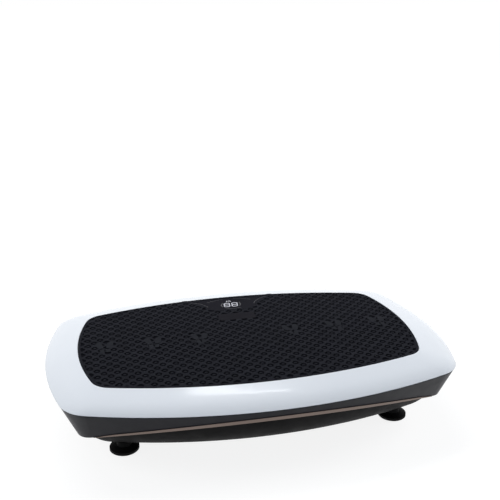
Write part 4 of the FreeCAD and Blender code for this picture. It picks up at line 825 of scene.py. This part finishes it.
def printed(name, outlines, finish):
    low, high = panelTop - display["sink"], panelTop + display["thick"]
    things = [block(f"{name}_{n}", outline, low, high) for n, outline in enumerate(outlines)]
    dress(joined(name, things), finish)


digits = []
for side in (-0.5, 0.5):
    digits += digitOutlines(display["x"] + side * display["apart"], display["y"])
printed("display_digits", digits, "lit_segment")
signX, signY = display["x"] + sign["x"], display["y"] + display["tall"] / 2 + sign["rise"]
wave = [Vector((signX + x, signY + y)) for x, y in sign["points"]]
printed("display_sign", [stroke(wave, sign["width"])], "lit_segment")
lines = [bracket(-1), bracket(1), stroke(curved(panelLines["underline"]), panelLines["underlineWidth"])]
for side in (-1, 1):
    lines += [stroke(curved(wing, side), panelLines["wingWidth"]) for wing in panelLines["wings"]]
printed("panel_lines", lines, "panel_print")
print("display made")


# the strips along the skirt's lower edge, with their upper edge raised up the skirt's slope
trim = {
    "raise": 0.0024,
    "height": 0.0046,        # of the solid strip in the middle
    "archRadius": 1.316,
    "sideMiddle": 0.6175,    # distance of the side arc's centre from the plate's middle
    "draft": 0.45,
    "blend": 0.0008,         # height over which the raise sets in
    "skip": 0.2,
}


def raisedTrim(node, side):
    copy = ownCopy(node, node + "_strip")
    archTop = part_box(node)[1].z - trim["height"]
    for vertex in copy.data.vertices:
        point = vertex.co
        arch = archTop - trim["archRadius"] + math.sqrt(trim["archRadius"] ** 2 - point.x ** 2)
        lift = trim["raise"] * min(1.0, max(0.0, (point.z - arch) / trim["blend"] - trim["skip"]))
        out = Vector((point.x, point.y - side * trim["sideMiddle"])).normalized()
        vertex.co = point + Vector((out.x * trim["draft"], out.y * trim["draft"], 1.0)) * lift
    dress(copy, "champagne_trim")
    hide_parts(node)


raisedTrim("front_trim", 1)
raisedTrim("back_trim", -1)
print("trims made")


# screws that show, with painted shade for their cross recesses, and the marks on the switch
fixings = {
    "headRadius": 0.0032,    # of the inlet's two screws
    "headHeight": 0.0013,
    "headChamfer": 0.0004,
    "crossLength": 0.0036,   # of the dark cross on a screw or bolt head: painted shade standing for its recess
    "crossWidth": 0.0008,
    "crossSink": 0.00005,
    "crossHeight": 0.00003,
    "crossStep": 0.00001,    # of one arm above the other
    "earInset": 0.005,
    "boltInset": 0.004,
    "markLength": 0.0042,    # of the line on the switch; its ring has markRadius
    "markRadius": 0.0021,
    "markWidth": 0.0009,
    "markSink": 0.0001,
    "markHeight": 0.00008,
    "outward": 0.8,          # least y of the normals that count as the rocker's outer faces
}


def faced(things, spot, facing):  # stands flat pieces on a face, with their own upward side along facing
    side = Vector((1, 0, 0))
    up = Vector(facing).normalized()
    ahead = up.cross(side).normalized()
    turn = Matrix((side, ahead, up)).transposed().to_4x4()
    for thing in things:
        thing.data.transform(Matrix.Translation(spot) @ turn)
    return things


# a thin dark cross on a flat head: painted shade where the recess would be
def crossAt(spot, facing):
    length, width = fixings["crossLength"], fixings["crossWidth"]
    low, high = -fixings["crossSink"], fixings["crossHeight"]
    arms = [block("cross", rectangle(length, width), low, high),
            block("cross", rectangle(width, length), low, high + fixings["crossStep"])]
    return faced(arms, spot, facing)


def rockerFaces():  # the rocker's two outer faces: centre and direction of each, the upper one first
    sums = {}
    for polygon in nodes["switch_rocker"].data.polygons:
        if polygon.normal.y > fixings["outward"]:
            key = tuple(round(value, 2) for value in polygon.normal)
            area, spot = sums.get(key, (0.0, Vector()))
            sums[key] = (area + polygon.area, spot + polygon.center * polygon.area)
    widest = sorted(sums, key=lambda key: sums[key][0])[-2:]
    faces = [(sums[key][1] / sums[key][0], Vector(key)) for key in widest]
    return sorted(faces, key=lambda face: -face[0].z)


inletLow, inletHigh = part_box("power_inlet")
inletMiddle = (inletLow.z + inletHigh.z) / 2
heads, crosses = [], []
for x in (inletLow.x + fixings["earInset"], inletHigh.x - fixings["earInset"]):
    head = block("head", circle(fixings["headRadius"]), 0, fixings["headHeight"], fixings["headChamfer"])
    heads += faced([head], (x, inletHigh.y, inletMiddle), (0, 1, 0))
    crosses += crossAt((x, inletHigh.y + fixings["headHeight"], inletMiddle), (0, 1, 0))
dress(joined("inlet_screws", heads), "fastener_steel", body="base")
boltLow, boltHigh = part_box("chassis_bolts")
reachX, reachY = boltHigh.x - fixings["boltInset"], boltHigh.y - fixings["boltInset"]
for x, y in ((-reachX, -reachY), (reachX, -reachY), (reachX, reachY), (-reachX, reachY)):
    crosses += crossAt((x, y, boltLow.z), (0, 0, -1))
dress(joined("screw_recesses", crosses), "screw_recess", body="base")

upper, lower = rockerFaces()
low, high = -fixings["markSink"], fixings["markHeight"]
line = block("on_sign", rectangle(fixings["markWidth"], fixings["markLength"]), low, high)
outer = circle(fixings["markRadius"])
inner = grown(outer, -fixings["markWidth"])
ring = thingOf("off_sign", *loops([at(outer, low), at(outer, high), at(inner, high), at(inner, low)]))
signs = faced([line], *upper) + faced([ring], *lower)
dress(joined("switch_signs", signs), "switch_print", body="rocker")
print("screws and switch marks made")


# camera, floor and light
eye = {
    "spot": (-0.2702, -1.1785, 0.6794),
    "ahead": (0.20215, 0.88471, -0.42002),
    "right": 0.0043,
    "up": 0.1071,
    "lens": 55.994,
    "sensor": 36,
    "clip": (0.01, 50),
}


def camera():
    ahead = Vector(eye["ahead"]).normalized()
    right = ahead.cross(Vector((0, 0, 1))).normalized()
    ahead = (ahead + right * math.tan(eye["right"])).normalized()
    right = ahead.cross(Vector((0, 0, 1))).normalized()
    up = right.cross(ahead)
    ahead = (ahead * math.cos(eye["up"]) + up * math.sin(eye["up"])).normalized()
    up = right.cross(ahead)
    data = bpy.data.cameras.new("camera")
    data.lens, data.sensor_width = eye["lens"], eye["sensor"]
    data.clip_start, data.clip_end = eye["clip"]
    thing = bpy.data.objects.new("camera", data)
    bpy.context.scene.collection.objects.link(thing)
    turn = Matrix((right, up, -ahead)).transposed().to_4x4()
    thing.matrix_world = Matrix.Translation(eye["spot"]) @ turn
    bpy.context.scene.camera = thing


studio = {
    "floorSize": 60.0,
    "floorColour": (0.25, 0.25, 0.25),
    "floorRoughness": 0.95,
    "seenWhite": 0.87,         # share of the seen floor that keeps no shadow
    "whiteFrom": (0.6, 1.6),   # where the floor turns fully white, from its middle
    "skyLevel": 0.15,
    "skyColour": (0.60, 0.80, 1.0),
    "lampTarget": (0, 0, 0.1),
}
# each lamp: where it hangs, its size, its power and whether gloss mirrors it
lamps = {
    "back_key": ((-0.3, 1.3, 2.1), (2.6, 1.0), 38, False),
    "left": ((-2.0, 0.2, 1.2), (0.8, 1.4), 20, False),
    "right": ((2.0, 0.2, 0.9), (0.8, 1.4), 28, False),
    "strip": ((0.42, 1.65, 2.15), (0.62, 0.055), 1.05, True),
}


def cameraOrMirror(tree):  # 1 for what the camera sees, straight or in metal and glass
    path = tree.nodes.new("ShaderNodeLightPath")
    seen = path.outputs["Is Camera Ray"]
    for name in ("Is Glossy Ray", "Is Transmission Ray"):
        either = tree.nodes.new("ShaderNodeMath")
        either.operation = "MAXIMUM"
        tree.links.new(seen, either.inputs[0])
        tree.links.new(path.outputs[name], either.inputs[1])
        seen = either.outputs[0]
    return seen


def studioFloor():
    mesh = bpy.data.meshes.new("floor")
    side = studio["floorSize"]
    mesh.from_pydata([(corner.x, corner.y, 0) for corner in rectangle(side, side)], [], [(0, 1, 2, 3)])
    thing = bpy.data.objects.new("floor", mesh)
    bpy.context.scene.collection.objects.link(thing)
    recipe = Recipe("studio_floor")
    tone = recipe.tones(recipe.noise(0.4), shade(studio["floorColour"], 0.985), studio["floorColour"])
    recipe.finish(tone, studio["floorRoughness"], **{"Specular IOR Level": 0.0})
    plain = recipe.shader.outputs[0]
    away = recipe.node("ShaderNodeVectorMath", {0: recipe.place}, operation="LENGTH").outputs["Value"]
    level = recipe.between(away, studio["seenWhite"], 1.0, *studio["whiteFrom"])
    white = recipe.node("ShaderNodeEmission", {"Color": (1, 1, 1, 1), "Strength": level}).outputs[0]
    lit = recipe.node("ShaderNodeAddShader", {0: plain, 1: white}).outputs[0]
    mixed = recipe.node("ShaderNodeMixShader", {0: cameraOrMirror(recipe.tree), 1: plain, 2: lit}).outputs[0]
    recipe.tree.links.new(mixed, recipe.tree.nodes["Material Output"].inputs["Surface"])
    mesh.materials.append(recipe.material)


def lamp(name, spot, size, power, mirrored):
    data = bpy.data.lights.new(name, "AREA")
    data.shape = "RECTANGLE"
    data.size, data.size_y = size
    data.energy = power
    thing = bpy.data.objects.new(name, data)
    bpy.context.scene.collection.objects.link(thing)
    thing.visible_glossy = mirrored
    aim = (Vector(studio["lampTarget"]) - Vector(spot)).to_track_quat("-Z", "Y")
    thing.matrix_world = Matrix.Translation(spot) @ aim.to_matrix().to_4x4()


def world():
    sky = bpy.data.worlds.new("studio")
    bpy.context.scene.world = sky
    sky.use_nodes = True
    tree = sky.node_tree
    soft, seen = tree.nodes["Background"], tree.nodes.new("ShaderNodeBackground")
    soft.inputs["Color"].default_value = (*studio["skyColour"], 1)
    soft.inputs["Strength"].default_value = studio["skyLevel"]
    seen.inputs["Color"].default_value = (1, 1, 1, 1)
    mixed = tree.nodes.new("ShaderNodeMixShader")
    tree.links.new(cameraOrMirror(tree), mixed.inputs[0])
    tree.links.new(soft.outputs[0], mixed.inputs[1])
    tree.links.new(seen.outputs[0], mixed.inputs[2])
    tree.links.new(mixed.outputs[0], tree.nodes["World Output"].inputs["Surface"])


bpy.context.scene.view_settings.view_transform = "Standard"
camera()
studioFloor()
world()
for name, values in lamps.items():
    lamp(name, *values)
print("camera, floor and light set")
